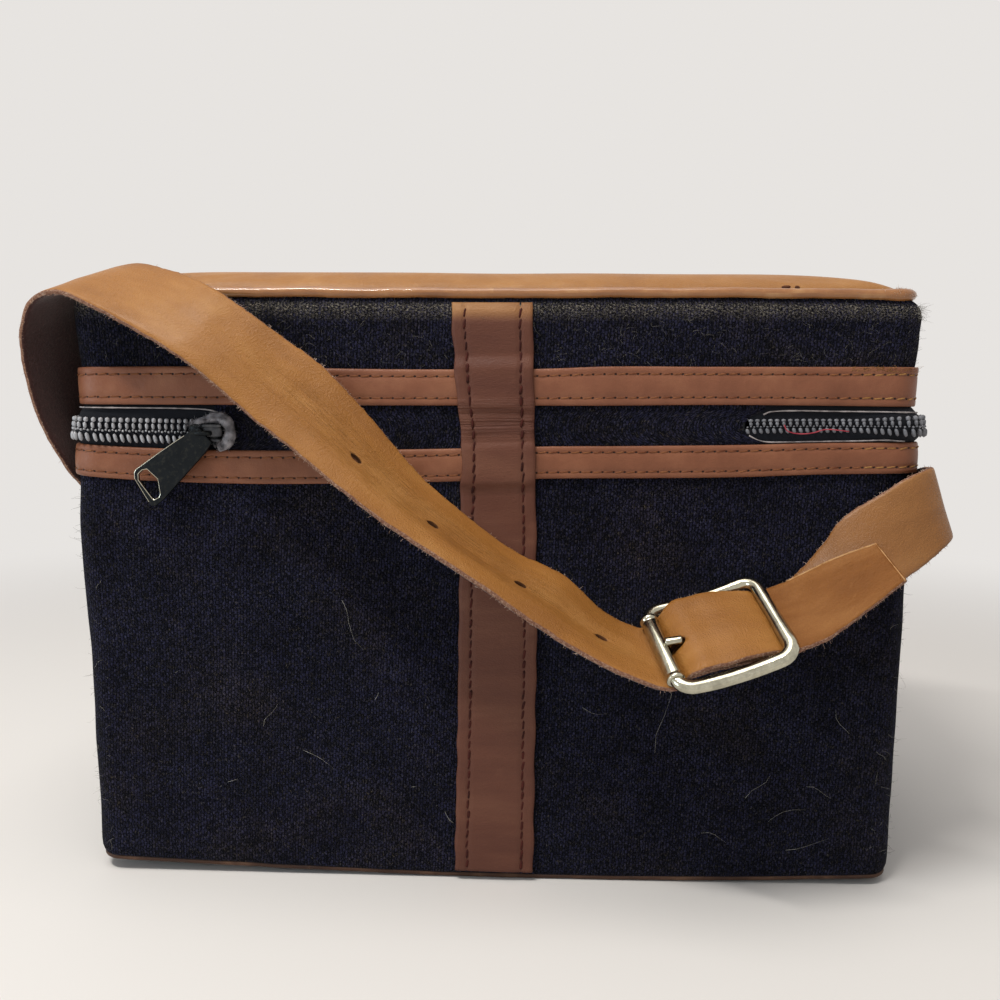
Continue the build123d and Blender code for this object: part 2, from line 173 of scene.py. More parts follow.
def lean(points):
    """Moves ideal box points to the worn box of the photograph."""
    x, y, z = np.moveaxis(points, -1, 0)
    side = eased((np.abs(x) - 50) / 80) * eased((-y - 15) / 30)
    out = np.where(x < 0, -keyed(LEFT_LEAN, z), keyed(RIGHT_LEAN, z))
    levels = [level for level, _ in RISE]
    place = np.interp(z, levels, np.arange(len(levels)))
    rise = 0.0
    for i, (_, keys) in enumerate(RISE):
        rise = rise + keyed(keys, x) * np.clip(1 - np.abs(place - i), 0, 1)
    front = eased((-y - 15) / 40)
    low = 1 - eased((z - 2) / 40)
    return np.stack([x + out * side, y, z + rise * np.maximum(front, low)], -1)


def outline(s):
    """Point of the inner rectangle at a place round the box, and the direction out of it."""
    t = np.mod(s, LOOP)
    turn = np.interp(t, KNOTS, TURN)
    return np.interp(t, KNOTS, INNER_X), np.interp(t, KNOTS, INNER_Y), np.cos(turn), np.sin(turn)


def from_middle(s):
    """Signed distance round the box from the middle of the hinge face."""
    return np.mod(s + LOOP / 2, LOOP) - LOOP / 2


def wall(s, out, z):
    """Frame points from wall space."""
    s, out, z = np.broadcast_arrays(np.asarray(s, float), out, z)
    x, y, out_x, out_y = outline(s)
    return lean(np.stack([x + out_x * (CORNER_R + out), y + out_y * (CORNER_R + out), z], -1))


def wall_frame(s, out, z):
    """Point, direction round the box, direction out and direction up, in wall space."""
    at = wall(s, out, z)
    along = unit(wall(s + 0.4, out, z) - wall(s - 0.4, out, z))
    up = np.broadcast_to([0.0, 0.0, 1.0], at.shape)
    return at, along, np.cross(along, up), up


def unit(v):
    """Vectors at length one."""
    return v / np.maximum(np.linalg.norm(v, axis=-1, keepdims=True), 1e-9)


def inset_loop(s, inset_y, inset_x, radius, z):
    """Rounded outline drawn in from the box, at a height."""
    x, y, out_x, out_y = outline(s)
    x = x / RUN_X * (HALF_W - inset_x - radius) + out_x * radius
    y = y / RUN_Y * (HALF_D - inset_y - radius) + out_y * radius
    return np.stack([x, y, np.full_like(x, z)], -1)


def new_object(name, data):
    """New object in the scene."""
    made = bpy.data.objects.new(name, data)
    bpy.context.scene.collection.objects.link(made)
    return made


def settle(piece, body, slot, *nodes):
    """Says which body a piece moves with and hides the nodes that it replaces; slot is not used."""
    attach(piece, body)
    if nodes:
        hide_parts(*nodes)


class Shape:
    """Gathers points, faces, surface coordinates and material numbers of one mesh."""

    def __init__(self):
        self.points = []
        self.faces = []
        self.places = []
        self.numbers = []
        self.count = 0

    def add(self, points, faces, places, number=0):
        """Adds points with faces that count from 0, and each face corner's surface coordinates."""
        self.points.append(np.reshape(points, (-1, 3)))
        numbers = np.broadcast_to(number, len(faces))
        for face, place, n in zip(faces, places, numbers):
            self.faces.append([int(i) + self.count for i in face])
            self.places.extend(place)
            self.numbers.append(int(n))
        self.count += len(self.points[-1])

    def grid(self, points, u, v, wrap_u=False, wrap_v=False, number=0, caps=False):
        """Adds a sheet of quads over points[i, j]; u and v are the surface coordinates of its lines."""
        rows, cols = points.shape[:2]
        i, j = np.meshgrid(np.arange(rows - (not wrap_u)), np.arange(cols - (not wrap_v)), indexing="ij")
        i, j = i.ravel(), j.ravel()
        i2, j2 = (i + 1) % rows, (j + 1) % cols
        faces = np.stack([i * cols + j, i2 * cols + j, i2 * cols + j2, i * cols + j2], -1)
        u, v = np.asarray(u, float), np.asarray(v, float)
        places = np.stack([
            np.stack([u[i], v[j]], -1), np.stack([u[i + 1], v[j]], -1),
            np.stack([u[i + 1], v[j + 1]], -1), np.stack([u[i], v[j + 1]], -1)], 1)
        if np.ndim(number):
            number = np.asarray(number)[j]
        self.add(points, faces, places, number)
        if caps:
            base = self.count - rows * cols
            for row, order in ((0, range(cols)), (rows - 1, range(cols - 1, -1, -1))):
                self.faces.append([base + row * cols + k for k in order])
                self.places.extend([(u[row], v[k]) for k in order])
                self.numbers.append(int(np.max(number)))

    def copies(self, template, at, axes, number=0):
        """Adds a copy of template (points, faces) at each place, along its own three scaled axes."""
        points, faces = template
        placed = at[:, None, :] + np.einsum("vk,nkc->nvc", points, axes)
        size = len(points)
        numbers = np.broadcast_to(number, len(at))
        for n in range(len(at)):
            self.points.append(placed[n])
            for face in faces:
                self.faces.append([int(k) + self.count for k in face])
                self.places.extend([(n + points[k][0] * 0.5, points[k][1] * 0.5) for k in face])
                self.numbers.append(int(numbers[n]))
            self.count += size

    def close(self, ring, middle, flipped=False, places=None):
        """Closes a ring of points with a fan of triangles to a middle point."""
        count = len(ring)
        fan = [(i, (i + 1) % count, count)[::-1 if flipped else 1] for i in range(count)]
        self.add(np.concatenate([ring, [middle]]), fan, places or [[(0, 0)] * 3] * count)

    def build(self, name, *paints):
        """Writes the mesh with its paints and returns its object."""
        mesh = bpy.data.meshes.new(name)
        mesh.from_pydata((np.concatenate(self.points) * MM).tolist(), [], self.faces)
        layer = mesh.uv_layers.new(name="UVMap")
        layer.data.foreach_set("uv", np.array(self.places, np.float32).ravel())
        mesh.polygons.foreach_set("material_index", np.array(self.numbers, np.int32))
        mesh.polygons.foreach_set("use_smooth", np.ones(len(self.faces), bool))
        for paint in paints:
            mesh.materials.append(PAINTS[paint])
        mesh.validate()
        mesh.update()
        return new_object(name, mesh)


def steps(low, high, size):
    """Even steps of about that size."""
    return np.linspace(low, high, max(2, int(round((high - low) / size)) + 1))


def ring_places(size=3.0):
    """Places round the box, closer together in its corners; the last one is the first again."""
    corners = [np.linspace(KNOTS[k], KNOTS[k + 1], 10) for k in (1, 3, 5, 7)]
    runs = [steps(KNOTS[k], KNOTS[k + 1], size) for k in (0, 2, 4, 6, 8)]
    return np.unique(np.round(np.concatenate(corners + runs), 4))


def bead(sides=8, rings=7, power=4.0):
    """Rounded pill along X, from -1 to 1, of radius 1."""
    t = np.linspace(-1, 1, rings + 2)[1:-1]
    angle = np.linspace(0, 2 * math.pi, sides, endpoint=False)
    radius = (1 - np.abs(t) ** power) ** 0.5
    points = [np.array([[-1.0, 0, 0]])]
    for x, r in zip(t, radius):
        points.append(np.stack([np.full(sides, x), r * np.cos(angle), r * np.sin(angle)], -1))
    points.append(np.array([[1.0, 0, 0]]))
    last = 1 + rings * sides
    faces = []
    for k in range(sides):
        k2 = (k + 1) % sides
        faces.append((0, 1 + k2, 1 + k))
        faces.append((last, last - sides + k, last - sides + k2))
        for ring in range(rings - 1):
            a = 1 + ring * sides
            faces.append((a + k, a + k2, a + sides + k2, a + sides + k))
    return np.concatenate(points), faces


def block(power=6.0):
    """Box with soft edges, from -1 to 1 on each axis."""
    points, faces = bead(20, 11, 2.0)
    return points / (np.abs(points) ** power).sum(1, keepdims=True) ** (1 / power), faces


def frames_along(path, closed, hint):
    """Tangent and two cross directions at each point of a path."""
    if closed:
        tangent = unit(np.roll(path, -1, 0) - np.roll(path, 1, 0))
    else:
        tangent = unit(np.gradient(path, axis=0))
    side = unit(np.cross(tangent, hint))
    return tangent, side, np.cross(side, tangent)


def tube(shape, path, radius, sides, closed=False, hint=(0, 0, 1), flat=1.0):
    """Adds a round or oval tube along a path; flat scales it along the hint."""
    path = np.asarray(path, float)
    _, side, rise = frames_along(path, closed, np.asarray(hint, float))
    radius = np.broadcast_to(radius, len(path))[:, None, None]
    angle = np.linspace(0, 2 * math.pi, sides, endpoint=False)[None, :, None]
    ring = np.cos(angle) * side[:, None] + flat * np.sin(angle) * rise[:, None]
    points = path[:, None] + ring * radius
    step = np.linalg.norm(np.diff(path, axis=0, append=path[:1]), axis=1)
    u = np.concatenate([[0], np.cumsum(step)])
    v = np.linspace(0, 2 * math.pi * float(radius.mean()), sides + 1)
    shape.grid(points, u, v, wrap_u=closed, wrap_v=True, caps=not closed)


def hairs(name, roots, ends, bend, radius, paint, seed):
    """Many thin three-sided fibres from roots to ends, each bowed and curled sideways."""
    draw = np.random.default_rng(seed)
    joints, sides = 5, 3
    t = np.linspace(0, 1, joints)[None, :, None]
    path = roots[:, None] + (ends - roots)[:, None] * t
    bend = np.broadcast_to(bend, len(roots)).reshape(-1, 1)
    for turns, share in ((1, 1.0), (2, 0.5)):
        sway = draw.normal(size=roots.shape) * bend * share
        path = path + sway[:, None] * np.sin(t * turns * math.pi)
    tangent = unit(np.gradient(path, axis=1))
    side = unit(np.cross(tangent, np.array([0.3, 0.2, 0.93])))
    rise = np.cross(side, tangent)
    angle = np.linspace(0, 2 * math.pi, sides, endpoint=False)[None, None, :, None]
    thin = radius * (1 - 0.6 * t[..., None])
    ring = np.cos(angle) * side[:, :, None] + np.sin(angle) * rise[:, :, None]
    points = (path[:, :, None] + ring * thin).reshape(-1, 3)
    faces = []
    for base in range(0, len(points), joints * sides):
        faces.append((base + 2, base + 1, base))
        for i in range(base, base + (joints - 1) * sides, sides):
            for k in range(sides):
                a, b = i + k, i + (k + 1) % sides
                faces.append((a, b, b + sides, a + sides))
        top = base + (joints - 1) * sides
        faces.append((top, top + 1, top + 2))
    shape = Shape()
    shape.add(points, faces, [[(0, 0)] * len(f) for f in faces])
    return shape.build(name, paint)


# Materials


class Paint:
    """One procedural material on the Principled shader."""

    def __init__(self, name, **settings):
        self.material = bpy.data.materials.new(name)
        self.material.use_nodes = True
        self.tree = self.material.node_tree
        self.shader = self.tree.nodes["Principled BSDF"]
        for socket, value in settings.items():
            self.shader.inputs[socket.replace("_", " ")].default_value = value

    def node(self, kind, **settings):
        """New node; settings name its sockets, or its properties where it has no such socket."""
        made = self.tree.nodes.new("ShaderNode" + kind)
        for key, value in settings.items():
            label = key.replace("_", " ")
            target = made.inputs.get(label)
            if target is None:
                setattr(made, key, value)
            elif isinstance(value, bpy.types.NodeSocket):
                self.tree.links.new(value, target)
            else:
                target.default_value = value
        return made

    def link(self, output, target):
        self.tree.links.new(output, target)

    def place(self, scale=(1, 1, 1), kind="UV", turn=0.0):
        """Surface coordinates in millimetres, scaled."""
        coordinates = self.node("TexCoord")
        mapping = self.node("Mapping")
        factor = 1.0 if kind == "UV" else 1 / MM
        mapping.inputs["Scale"].default_value = [factor * k for k in scale]
        mapping.inputs["Rotation"].default_value = (0, 0, turn)
        self.link(coordinates.outputs[kind], mapping.inputs["Vector"])
        return mapping.outputs["Vector"]

    def noise(self, place, scale, detail=3.0, roughness=0.55, distortion=0.0):
        made = self.node("TexNoise", Scale=scale, Detail=detail, Roughness=roughness, Distortion=distortion)
        self.link(place, made.inputs["Vector"])
        return made.outputs["Fac"]

    def cells(self, place, scale):
        made = self.node("TexVoronoi", Scale=scale)
        self.link(place, made.inputs["Vector"])
        return made.outputs["Distance"]

    def split(self, place):
        """The coordinates of a place, one by one."""
        made = self.node("SeparateXYZ")
        self.link(place, made.inputs[0])
        return made.outputs

    def carry(self, value, start=0.0, stop=1.0, low=0.0, high=1.0, kind="LINEAR"):
        """Value carried from the range of start to stop to that of low to high."""
        made = self.node("MapRange", interpolation_type=kind, From_Min=start, From_Max=stop, To_Min=low,
                         To_Max=high)
        self.link(value, made.inputs[0])
        return made.outputs[0]

    def ramp(self, value, *stops):
        """Colours or greys at stops of a value."""
        made = self.node("ValToRGB")
        ramp = made.color_ramp
        while len(ramp.elements) < len(stops):
            ramp.elements.new(0.5)
        for element, (position, colour) in zip(ramp.elements, stops):
            element.position = position
            grey = not hasattr(colour, "__len__")
            element.color = (colour, colour, colour, 1) if grey else (*colour, 1)
        self.link(value, made.inputs["Fac"])
        return made.outputs["Color"]

    def mix(self, factor, a, b, blend="MIX"):
        made = self.node("Mix", data_type="RGBA", blend_type=blend)
        for socket, value in ((made.inputs[0], factor), (made.inputs[6], a), (made.inputs[7], b)):
            if isinstance(value, bpy.types.NodeSocket):
                self.link(value, socket)
            elif hasattr(value, "__len__"):
                socket.default_value = (*value, 1)
            else:
                socket.default_value = value
        return made.outputs[2]

    def math(self, operation, a, b=0.0):
        made = self.node("Math", operation=operation)
        for socket, value in zip(made.inputs, (a, b)):
            if isinstance(value, bpy.types.NodeSocket):
                self.link(value, socket)
            else:
                socket.default_value = value
        return made.outputs[0]

    def times(self, first, *others):
        """Product of two or more values."""
        for other in others:
            first = self.math("MULTIPLY", first, other)
        return first

    def bump(self, height, depth, strength=1.0, under=None):
        """Surface relief; depth is in millimetres."""
        made = self.node("Bump", Strength=strength, Distance=depth * MM)
        self.link(height, made.inputs["Height"])
        if under is not None:
            self.link(under, made.inputs["Normal"])
        return made.outputs["Normal"]

    def finish(self, colour=None, roughness=None, normal=None):
        for name, value in (("Base Color", colour), ("Roughness", roughness), ("Normal", normal)):
            if value is not None:
                self.link(value, self.shader.inputs[name])
        return self.material


def tweed_paint(name, dust_and_light=None):
    """Charcoal woollen cloth: staggered upright stitches, flecks, brown patches, and between two heights a
    pale olive band, partly dust and partly painted light from above, that fades out under the piping where
    its shade falls.
    """
    p = Paint(name, Roughness=0.95, Specular_IOR_Level=0.06, Sheen_Weight=0.03, Sheen_Roughness=0.4)
    uv = p.place()
    shifted = uv
    for scale, reach in ((0.4, 1.1), (1.7, 0.45)):
        wander = p.node("TexNoise", Scale=scale, Detail=2.0)
        p.link(uv, wander.inputs["Vector"])
        move = p.node("VectorMath", operation="MULTIPLY_ADD")
        p.link(wander.outputs["Color"], move.inputs[0])
        move.inputs[1].default_value = (reach, reach, 0)
        p.link(shifted, move.inputs[2])
        shifted = move.outputs[0]
    turned = p.node("Mapping")
    turned.inputs["Rotation"].default_value = (0, 0, math.pi / 2 + 0.04)
    p.link(shifted, turned.inputs["Vector"])
    stitches = p.node("TexBrick", offset=0.5, Color1=(0.0032, 0.0036, 0.0084, 1),
                      Color2=(0.0180, 0.0182, 0.0430, 1), Mortar=(0.0008, 0.0009, 0.0022, 1), Scale=1.0,
                      Mortar_Size=0.24, Mortar_Smooth=1.0, Bias=-0.1, Brick_Width=1.5, Row_Height=0.98)
    p.link(turned.outputs["Vector"], stitches.inputs["Vector"])
    fibre = p.noise(p.place((2.6, 1.1, 1)), 1.0, 3.0, 0.75, 0.4)
    fleck = p.ramp(fibre, (0.53, 0.0), (0.68, 1.0))
    hue = p.ramp(p.noise(uv, 0.5, 2.0), (0.42, (0.062, 0.066, 0.122)), (0.66, (0.105, 0.092, 0.070)))
    colour = p.mix(p.times(fleck, 0.72), stitches.outputs["Color"], hue)
    rust = p.ramp(p.noise(uv, 0.028, 4.0, 0.6), (0.50, 0.0), (0.72, 0.55))
    colour = p.mix(rust, colour, p.mix(1.0, colour, (1.9, 1.5, 0.75), "MULTIPLY"))
    patch = p.ramp(p.noise(uv, 0.05, 3.0), (0.35, 0.75), (0.7, 1.25))
    colour = p.mix(1.0, colour, patch, "MULTIPLY")
    # A pale olive band between two heights: partly dust, partly painted light from above; it fades out under
    # the piping, where the piping's shade falls.
    if dust_and_light is not None:
        low, high = dust_and_light
        height = p.split(uv)[1]
        dust = p.carry(height, low, high)
        gone = p.carry(height, high, high + 1.6, 1.0, 0.0)
        grains = p.ramp(p.noise(p.place((1.2, 1.9, 1), turn=0.5), 1.0, 6.0, 0.85), (0.50, 0.0), (0.575, 1.0))
        patchy = p.ramp(p.noise(uv, 0.16, 3.0, 0.7), (0.30, 0.35), (0.62, 1.0))
        colour = p.mix(p.times(dust, gone, grains, patchy), colour, (0.35, 0.31, 0.245))
    relief = p.bump(stitches.outputs["Fac"], -0.45, 1.0)
    relief = p.bump(p.noise(uv, 2.2, 4.0, 0.75), 0.4, 0.9, relief)
    return p.finish(colour, None, relief)


def leather_paint(name, colour, dark, light, roughness, grain, depth, coat=0.0, coat_roughness=0.25,
                  holes=None, kind="UV", stretch=(1, 1, 1), scuffs=0.35, specular=0.3, folds=None, end=None):
    """Leather with pores, mottling and pale scuffs; where asked, stitch holes painted near-black as the shade
    in them, folds with painted shade in their valleys, and an end of another shade, a painted highlight on
    the strip.
    """
    p = Paint(name, Roughness=roughness, Specular_IOR_Level=specular, Coat_Weight=coat,
              Coat_Roughness=coat_roughness)
    place = p.place(kind=kind)
    mottle = p.noise(p.place(stretch, kind), 0.06, 4.0, 0.6)
    base = p.ramp(mottle, (0.3, dark), (0.52, colour), (0.75, light))
    pores = p.cells(place, grain)
    fine = p.noise(place, grain * 1.7, 3.0, 0.6)
    base = p.mix(p.times(p.ramp(fine, (0.3, 1.0), (0.62, 0.0)), 0.32), base, dark)
    worn = p.ramp(p.noise(place, 0.22, 5.0, 0.7), (0.60, 0.0), (0.78, 1.0))
    base = p.mix(p.times(worn, scuffs), base, light)
    relief = p.bump(pores, depth, 0.7)
    relief = p.bump(fine, depth * 1.2, 0.7, relief)
    relief = p.bump(p.noise(place, 0.35, 3.0), 0.25, 0.5, relief)
    shine = p.carry(p.noise(place, 0.8, 3.0), low=roughness - 0.08, high=roughness + 0.16)
    along, across, _ = p.split(place)
    if folds is not None:
        start, stop, row, spread, scale = folds
        lines = p.noise(p.place((*scale, 1), kind), 1.0, 3.0, 0.6, 0.15)
        shares = []
        for value, middle, reach in ((across, row, spread), (along, (start + stop) / 2, (stop - start) / 2)):
            away = p.times(p.math("SUBTRACT", value, middle), 1 / reach)
            shares.append(p.ramp(p.times(away, away), (0.25, 1.0), (1.0, 0.0)))
        amount = p.times(*shares)
        # Painted shade in the folds' valleys
        valley = p.times(p.ramp(lines, (0.36, 1.0), (0.50, 0.0)), amount, 0.35)
        base = p.mix(valley, base, dark)
        relief = p.bump(p.times(lines, amount), 0.9, 0.9, relief)
    # An end multiplied by another shade: on the strip, a painted highlight
    if end is not None:
        start, stop, shade = end
        beyond = p.carry(along, start, stop, kind="SMOOTHSTEP")
        base = p.mix(beyond, base, p.mix(1.0, base, shade, "MULTIPLY"))
    if holes is not None:
        pitch, rows = holes
        off = p.math("PINGPONG", along, pitch / 2)
        spots = []
        for row in rows:
            aside = p.times(p.math("ABSOLUTE", p.math("SUBTRACT", across, row)), 1.3)
            near = p.math("SQRT", p.math("ADD", p.times(off, off), p.times(aside, aside)))
            spots.append(p.ramp(near, (0.22, 1.0), (0.46, 0.0)))
        mask = p.math("MAXIMUM", *spots)
        # The stitch holes are painted near-black: painted shade inside them.
        base = p.mix(mask, base, (0.012, 0.004, 0.003))
        relief = p.bump(mask, -0.4, 1.0, relief)
    return p.finish(base, shine, relief)


def suede_paint():
    """Rough dark red-brown flesh side of the hide."""
    p = Paint("strap_flesh_side", Roughness=0.95, Specular_IOR_Level=0.15, Sheen_Weight=0.25)
    uv = p.place()
    nap = p.noise(uv, 1.1, 5.0, 0.75, 0.6)
    colour = p.ramp(nap, (0.3, (0.030, 0.012, 0.009)), (0.55, (0.060, 0.024, 0.022)),
                    (0.75, (0.13, 0.062, 0.055)))
    return p.finish(colour, None, p.bump(nap, 0.35, 0.9))


def raw_edge_paint():
    """Cut edge of the hide, fibrous and pale in places."""
    p = Paint("strap_cut_edge", Roughness=0.9, Specular_IOR_Level=0.2)
    place = p.place(kind="Object")
    fibres = p.noise(place, 1.4, 5.0, 0.8, 0.4)
    colour = p.ramp(fibres, (0.32, (0.10, 0.042, 0.030)), (0.5, (0.24, 0.115, 0.072)),
                    (0.68, (0.50, 0.35, 0.25)))
    return p.finish(colour, None, p.bump(fibres, 0.3, 1.0))


def metal_paint(name, colour, roughness, wear, bright, mottle):
    """Plated metal with fine scratches and rubbed patches."""
    p = Paint(name, Metallic=1.0, Roughness=roughness)
    place = p.place(kind="Object")
    tarnish = p.noise(place, 0.35, 4.0, 0.6)
    rubbed = p.ramp(p.noise(place, 0.9, 4.0, 0.65), (0.52, 0.0), (0.7, wear))
    base = p.mix(rubbed, colour, bright)
    dark = tuple(k * (1 - 0.45 * mottle) for k in colour)
    base = p.mix(p.ramp(tarnish, (0.35, mottle), (0.6, 0.0)), base, dark)
    scratches = p.noise(p.place((6, 1, 1), "Object"), 1.2, 3.0)
    shine = p.carry(tarnish, low=roughness - 0.05, high=roughness + 0.10)
    return p.finish(base, shine, p.bump(scratches, 0.04, 0.35))


def cloth_paint(name, colour, lift, pitch, sheen, kind="UV"):
    """Plain woven cloth with threads a pitch apart."""
    p = Paint(name, Roughness=0.85, Specular_IOR_Level=0.25, Sheen_Weight=sheen)
    place = p.place((1 / pitch, 1 / pitch, 1 / pitch), kind)
    weave = p.node("TexBrick", offset=0.5, Color1=(*colour, 1), Color2=(*lift, 1), Scale=1.0,
                   Mortar=tuple(k * 0.35 for k in colour) + (1,), Mortar_Size=0.12, Mortar_Smooth=1.0,
                   Brick_Width=1.0, Row_Height=0.5)
    p.link(place, weave.inputs["Vector"])
    shade = p.ramp(p.noise(p.place(kind=kind), 0.12, 3.0), (0.3, 0.7), (0.7, 1.2))
    return p.finish(p.mix(1.0, weave.outputs["Color"], shade, "MULTIPLY"), None,
                    p.bump(weave.outputs["Fac"], -0.15, 0.8))


def plain_fibre(name, colour, pale, roughness=0.7):
    """Thread or hair that changes shade from one fibre to the next."""
    p = Paint(name, Roughness=roughness, Specular_IOR_Level=0.15)
    tone = p.noise(p.place(kind="Object"), 0.35, 2.0)
    twist = p.noise(p.place((3, 3, 3), "Object"), 1.0, 2.0)
    return p.finish(p.ramp(tone, (0.35, colour), (0.65, pale)), None, p.bump(twist, 0.08, 0.6))


def teeth_paint(name, dark, pale, roughness):
    """Grey moulded teeth with a dull shine."""
    p = Paint(name, Roughness=roughness, Specular_IOR_Level=0.5)
    place = p.place(kind="Object")
    tone = p.noise(place, 0.25, 3.0)
    return p.finish(p.ramp(tone, (0.3, dark), (0.7, pale)), None, p.bump(p.noise(place, 3.0, 2.0), 0.05, 0.6))


STITCH_PITCH = 3.5
BAND_ROWS = (2.0, BAND_H - 2.0)
UPPER_BAND_ROWS = (2.2, UPPER_BAND_H - 2.2)
# Folds in a leather, with painted shade in their valleys: from and to along it, their middle and reach across
# it, and the scale of their lines
STRAP_FOLDS = (176.0, 345.0, 12.5, 7.5, (0.045, 2.0))
STRIP_FOLDS = (147.0, 161.0, 12.5, 60.0, (1.5, 0.05))
# The strip's upper end, painted lighter as a painted highlight where it bends back at the top: from and to
# along it, and its shade against the rest
STRIP_LIT_END = (183.5, 188.0, (2.3, 2.9, 1.9))

PAINTS = {
    "body_tweed": tweed_paint("tweed_body"),
    # The lid's cloth has the pale band near its top: partly dust, partly painted light.
    "lid_tweed": tweed_paint("tweed_lid", (LID_EDGE - 6.5, LID_EDGE - 1.5)),
    "strap": leather_paint("strap_hide", (0.338, 0.142, 0.030), (0.25, 0.098, 0.019), (0.455, 0.22, 0.062),
                           roughness=0.40, grain=1.9, depth=0.19, coat=0.06, stretch=(0.35, 1, 1),
                           specular=0.26, folds=STRAP_FOLDS),
    # The tip past the buckle is the strap's hide painted darker: painted shade on the part turned from the
    # light.
    "strap_tip": leather_paint("strap_tip_shaded_hide", (0.222, 0.083, 0.019), (0.150, 0.052, 0.012),
                               (0.33, 0.145, 0.045), roughness=0.52, grain=1.25, depth=0.22, specular=0.16,
                               stretch=(0.35, 1, 1)),
    # The short strap is the same hide painted darker: painted shade on the side turned from the light.
    "short_strap": leather_paint("short_strap_shaded_hide", (0.262, 0.108, 0.027), (0.195, 0.076, 0.017),
                                 (0.36, 0.17, 0.052), roughness=0.40, grain=1.9, depth=0.13, coat=0.1,
                                 stretch=(0.35, 1, 1), specular=0.38),
    "suede": suede_paint(),
    "edge": raw_edge_paint(),
    # Both bands' stitch holes are painted near-black as painted shade.
    "band": leather_paint("band_leather", (0.215, 0.078, 0.038), (0.165, 0.057, 0.027), (0.29, 0.118, 0.06),
                          roughness=0.40, grain=2.6, depth=0.06, holes=(STITCH_PITCH, BAND_ROWS)),
    "upper_band": leather_paint("upper_band_leather", (0.222, 0.082, 0.042), (0.165, 0.058, 0.029),
                                (0.29, 0.122, 0.063), roughness=0.40, grain=2.6, depth=0.06,
                                holes=(STITCH_PITCH, UPPER_BAND_ROWS)),
    "strip": leather_paint("strip_leather", (0.122, 0.044, 0.026), (0.084, 0.027, 0.017),
                           (0.18, 0.075, 0.044), roughness=0.48, grain=2.2, depth=0.09, stretch=(1, 0.4, 1),
                           specular=0.25, folds=STRIP_FOLDS, end=STRIP_LIT_END),
    "top": leather_paint("top_leather", (0.335, 0.150, 0.042), (0.285, 0.123, 0.034), (0.41, 0.20, 0.066),
                         roughness=0.42, grain=1.6, depth=0.10, kind="Object"),
    "piping": leather_paint("piping_leather", (0.34, 0.142, 0.045), (0.23, 0.088, 0.028), (0.50, 0.27, 0.11),
                            roughness=0.40, grain=1.8, depth=0.05, coat=1.0, scuffs=0.4, specular=0.15,
                            coat_roughness=0.09),
    # The base leather is painted very dark: painted shade under the box's bottom edge.
    "base": leather_paint("base_leather", (0.060, 0.027, 0.015), (0.030, 0.013, 0.008), (0.16, 0.085, 0.05),
                          roughness=0.55, grain=1.6, depth=0.06, kind="Object", scuffs=0.7, specular=0.25),
    "board": cloth_paint("fibre_board", (0.30, 0.23, 0.15), (0.36, 0.28, 0.19), 0.8, kind="Object",
                         sheen=0.0),
    "lining": cloth_paint("napped_lining", (0.17, 0.012, 0.018), (0.24, 0.02, 0.028), 0.7, sheen=0.7),
    "tape": cloth_paint("zip_tape_cloth", (0.003, 0.004, 0.009), (0.007, 0.009, 0.016), 0.55, sheen=0.03),
    "thread": plain_fibre("band_thread", (0.13, 0.040, 0.018), (0.24, 0.095, 0.038)),
    "dark_thread": plain_fibre("strip_thread", (0.022, 0.005, 0.004), (0.065, 0.013, 0.009)),
    "gold_thread": plain_fibre("right_thread", (0.26, 0.12, 0.035), (0.38, 0.2, 0.07)),
    "pale_hair": plain_fibre("pale_hair", (0.20, 0.19, 0.17), (0.42, 0.40, 0.36)),
    "fuzz": plain_fibre("wool_fuzz", (0.012, 0.013, 0.016), (0.075, 0.07, 0.055)),
    "hide_fibre": plain_fibre("hide_fibre", (0.38, 0.22, 0.15), (0.66, 0.52, 0.43)),
    "dim_hair": plain_fibre("dim_hair", (0.07, 0.07, 0.075), (0.26, 0.24, 0.20)),
    "tip_rim": plain_fibre("tip_rim", (0.34, 0.165, 0.06), (0.52, 0.30, 0.14)),
    "lint": plain_fibre("grey_lint", (0.12, 0.115, 0.125), (0.36, 0.34, 0.36), 0.9),
    "red_thread": plain_fibre("loose_red_thread", (0.30, 0.03, 0.05), (0.42, 0.07, 0.09)),
    "dusty_metal": plain_fibre("dusty_metal", (0.050, 0.050, 0.056), (0.115, 0.112, 0.115), 0.55),
    "hole": plain_fibre("punched_hole", (0.075, 0.030, 0.013), (0.12, 0.05, 0.022), 0.8),
    "tear": plain_fibre("torn_leather", (0.060, 0.021, 0.012), (0.11, 0.042, 0.022), 0.9),
    "cut_cloth": plain_fibre("cut_cloth_edge", (0.20, 0.18, 0.18), (0.42, 0.38, 0.38), 0.9),
    "nickel": metal_paint("nickel_plate", (0.50, 0.475, 0.37), 0.12, 0.35, (0.72, 0.70, 0.58), 0.75),
    "gunmetal": metal_paint("gunmetal", (0.017, 0.019, 0.021), 0.45, 0.3, (0.085, 0.082, 0.062), 0.5),
    # Pale rim metal of the zip pull: rubbed metal and painted highlight at once.
    "rubbed": metal_paint("rubbed_and_lit_rim_metal", (0.52, 0.48, 0.38), 0.24, 0.3, (0.75, 0.72, 0.62), 0.3),
    "teeth": teeth_paint("zip_tooth", (0.27, 0.27, 0.285), (0.44, 0.44, 0.465), 0.35),
    "dull_teeth": teeth_paint("zip_tooth_dull", (0.095, 0.098, 0.112), (0.21, 0.215, 0.24), 0.5),
}


# Walls of cloth


def around(size):
    """Places all round the box, from the middle of the back face and back to it."""
    return steps(-LOOP / 2, LOOP / 2, size)


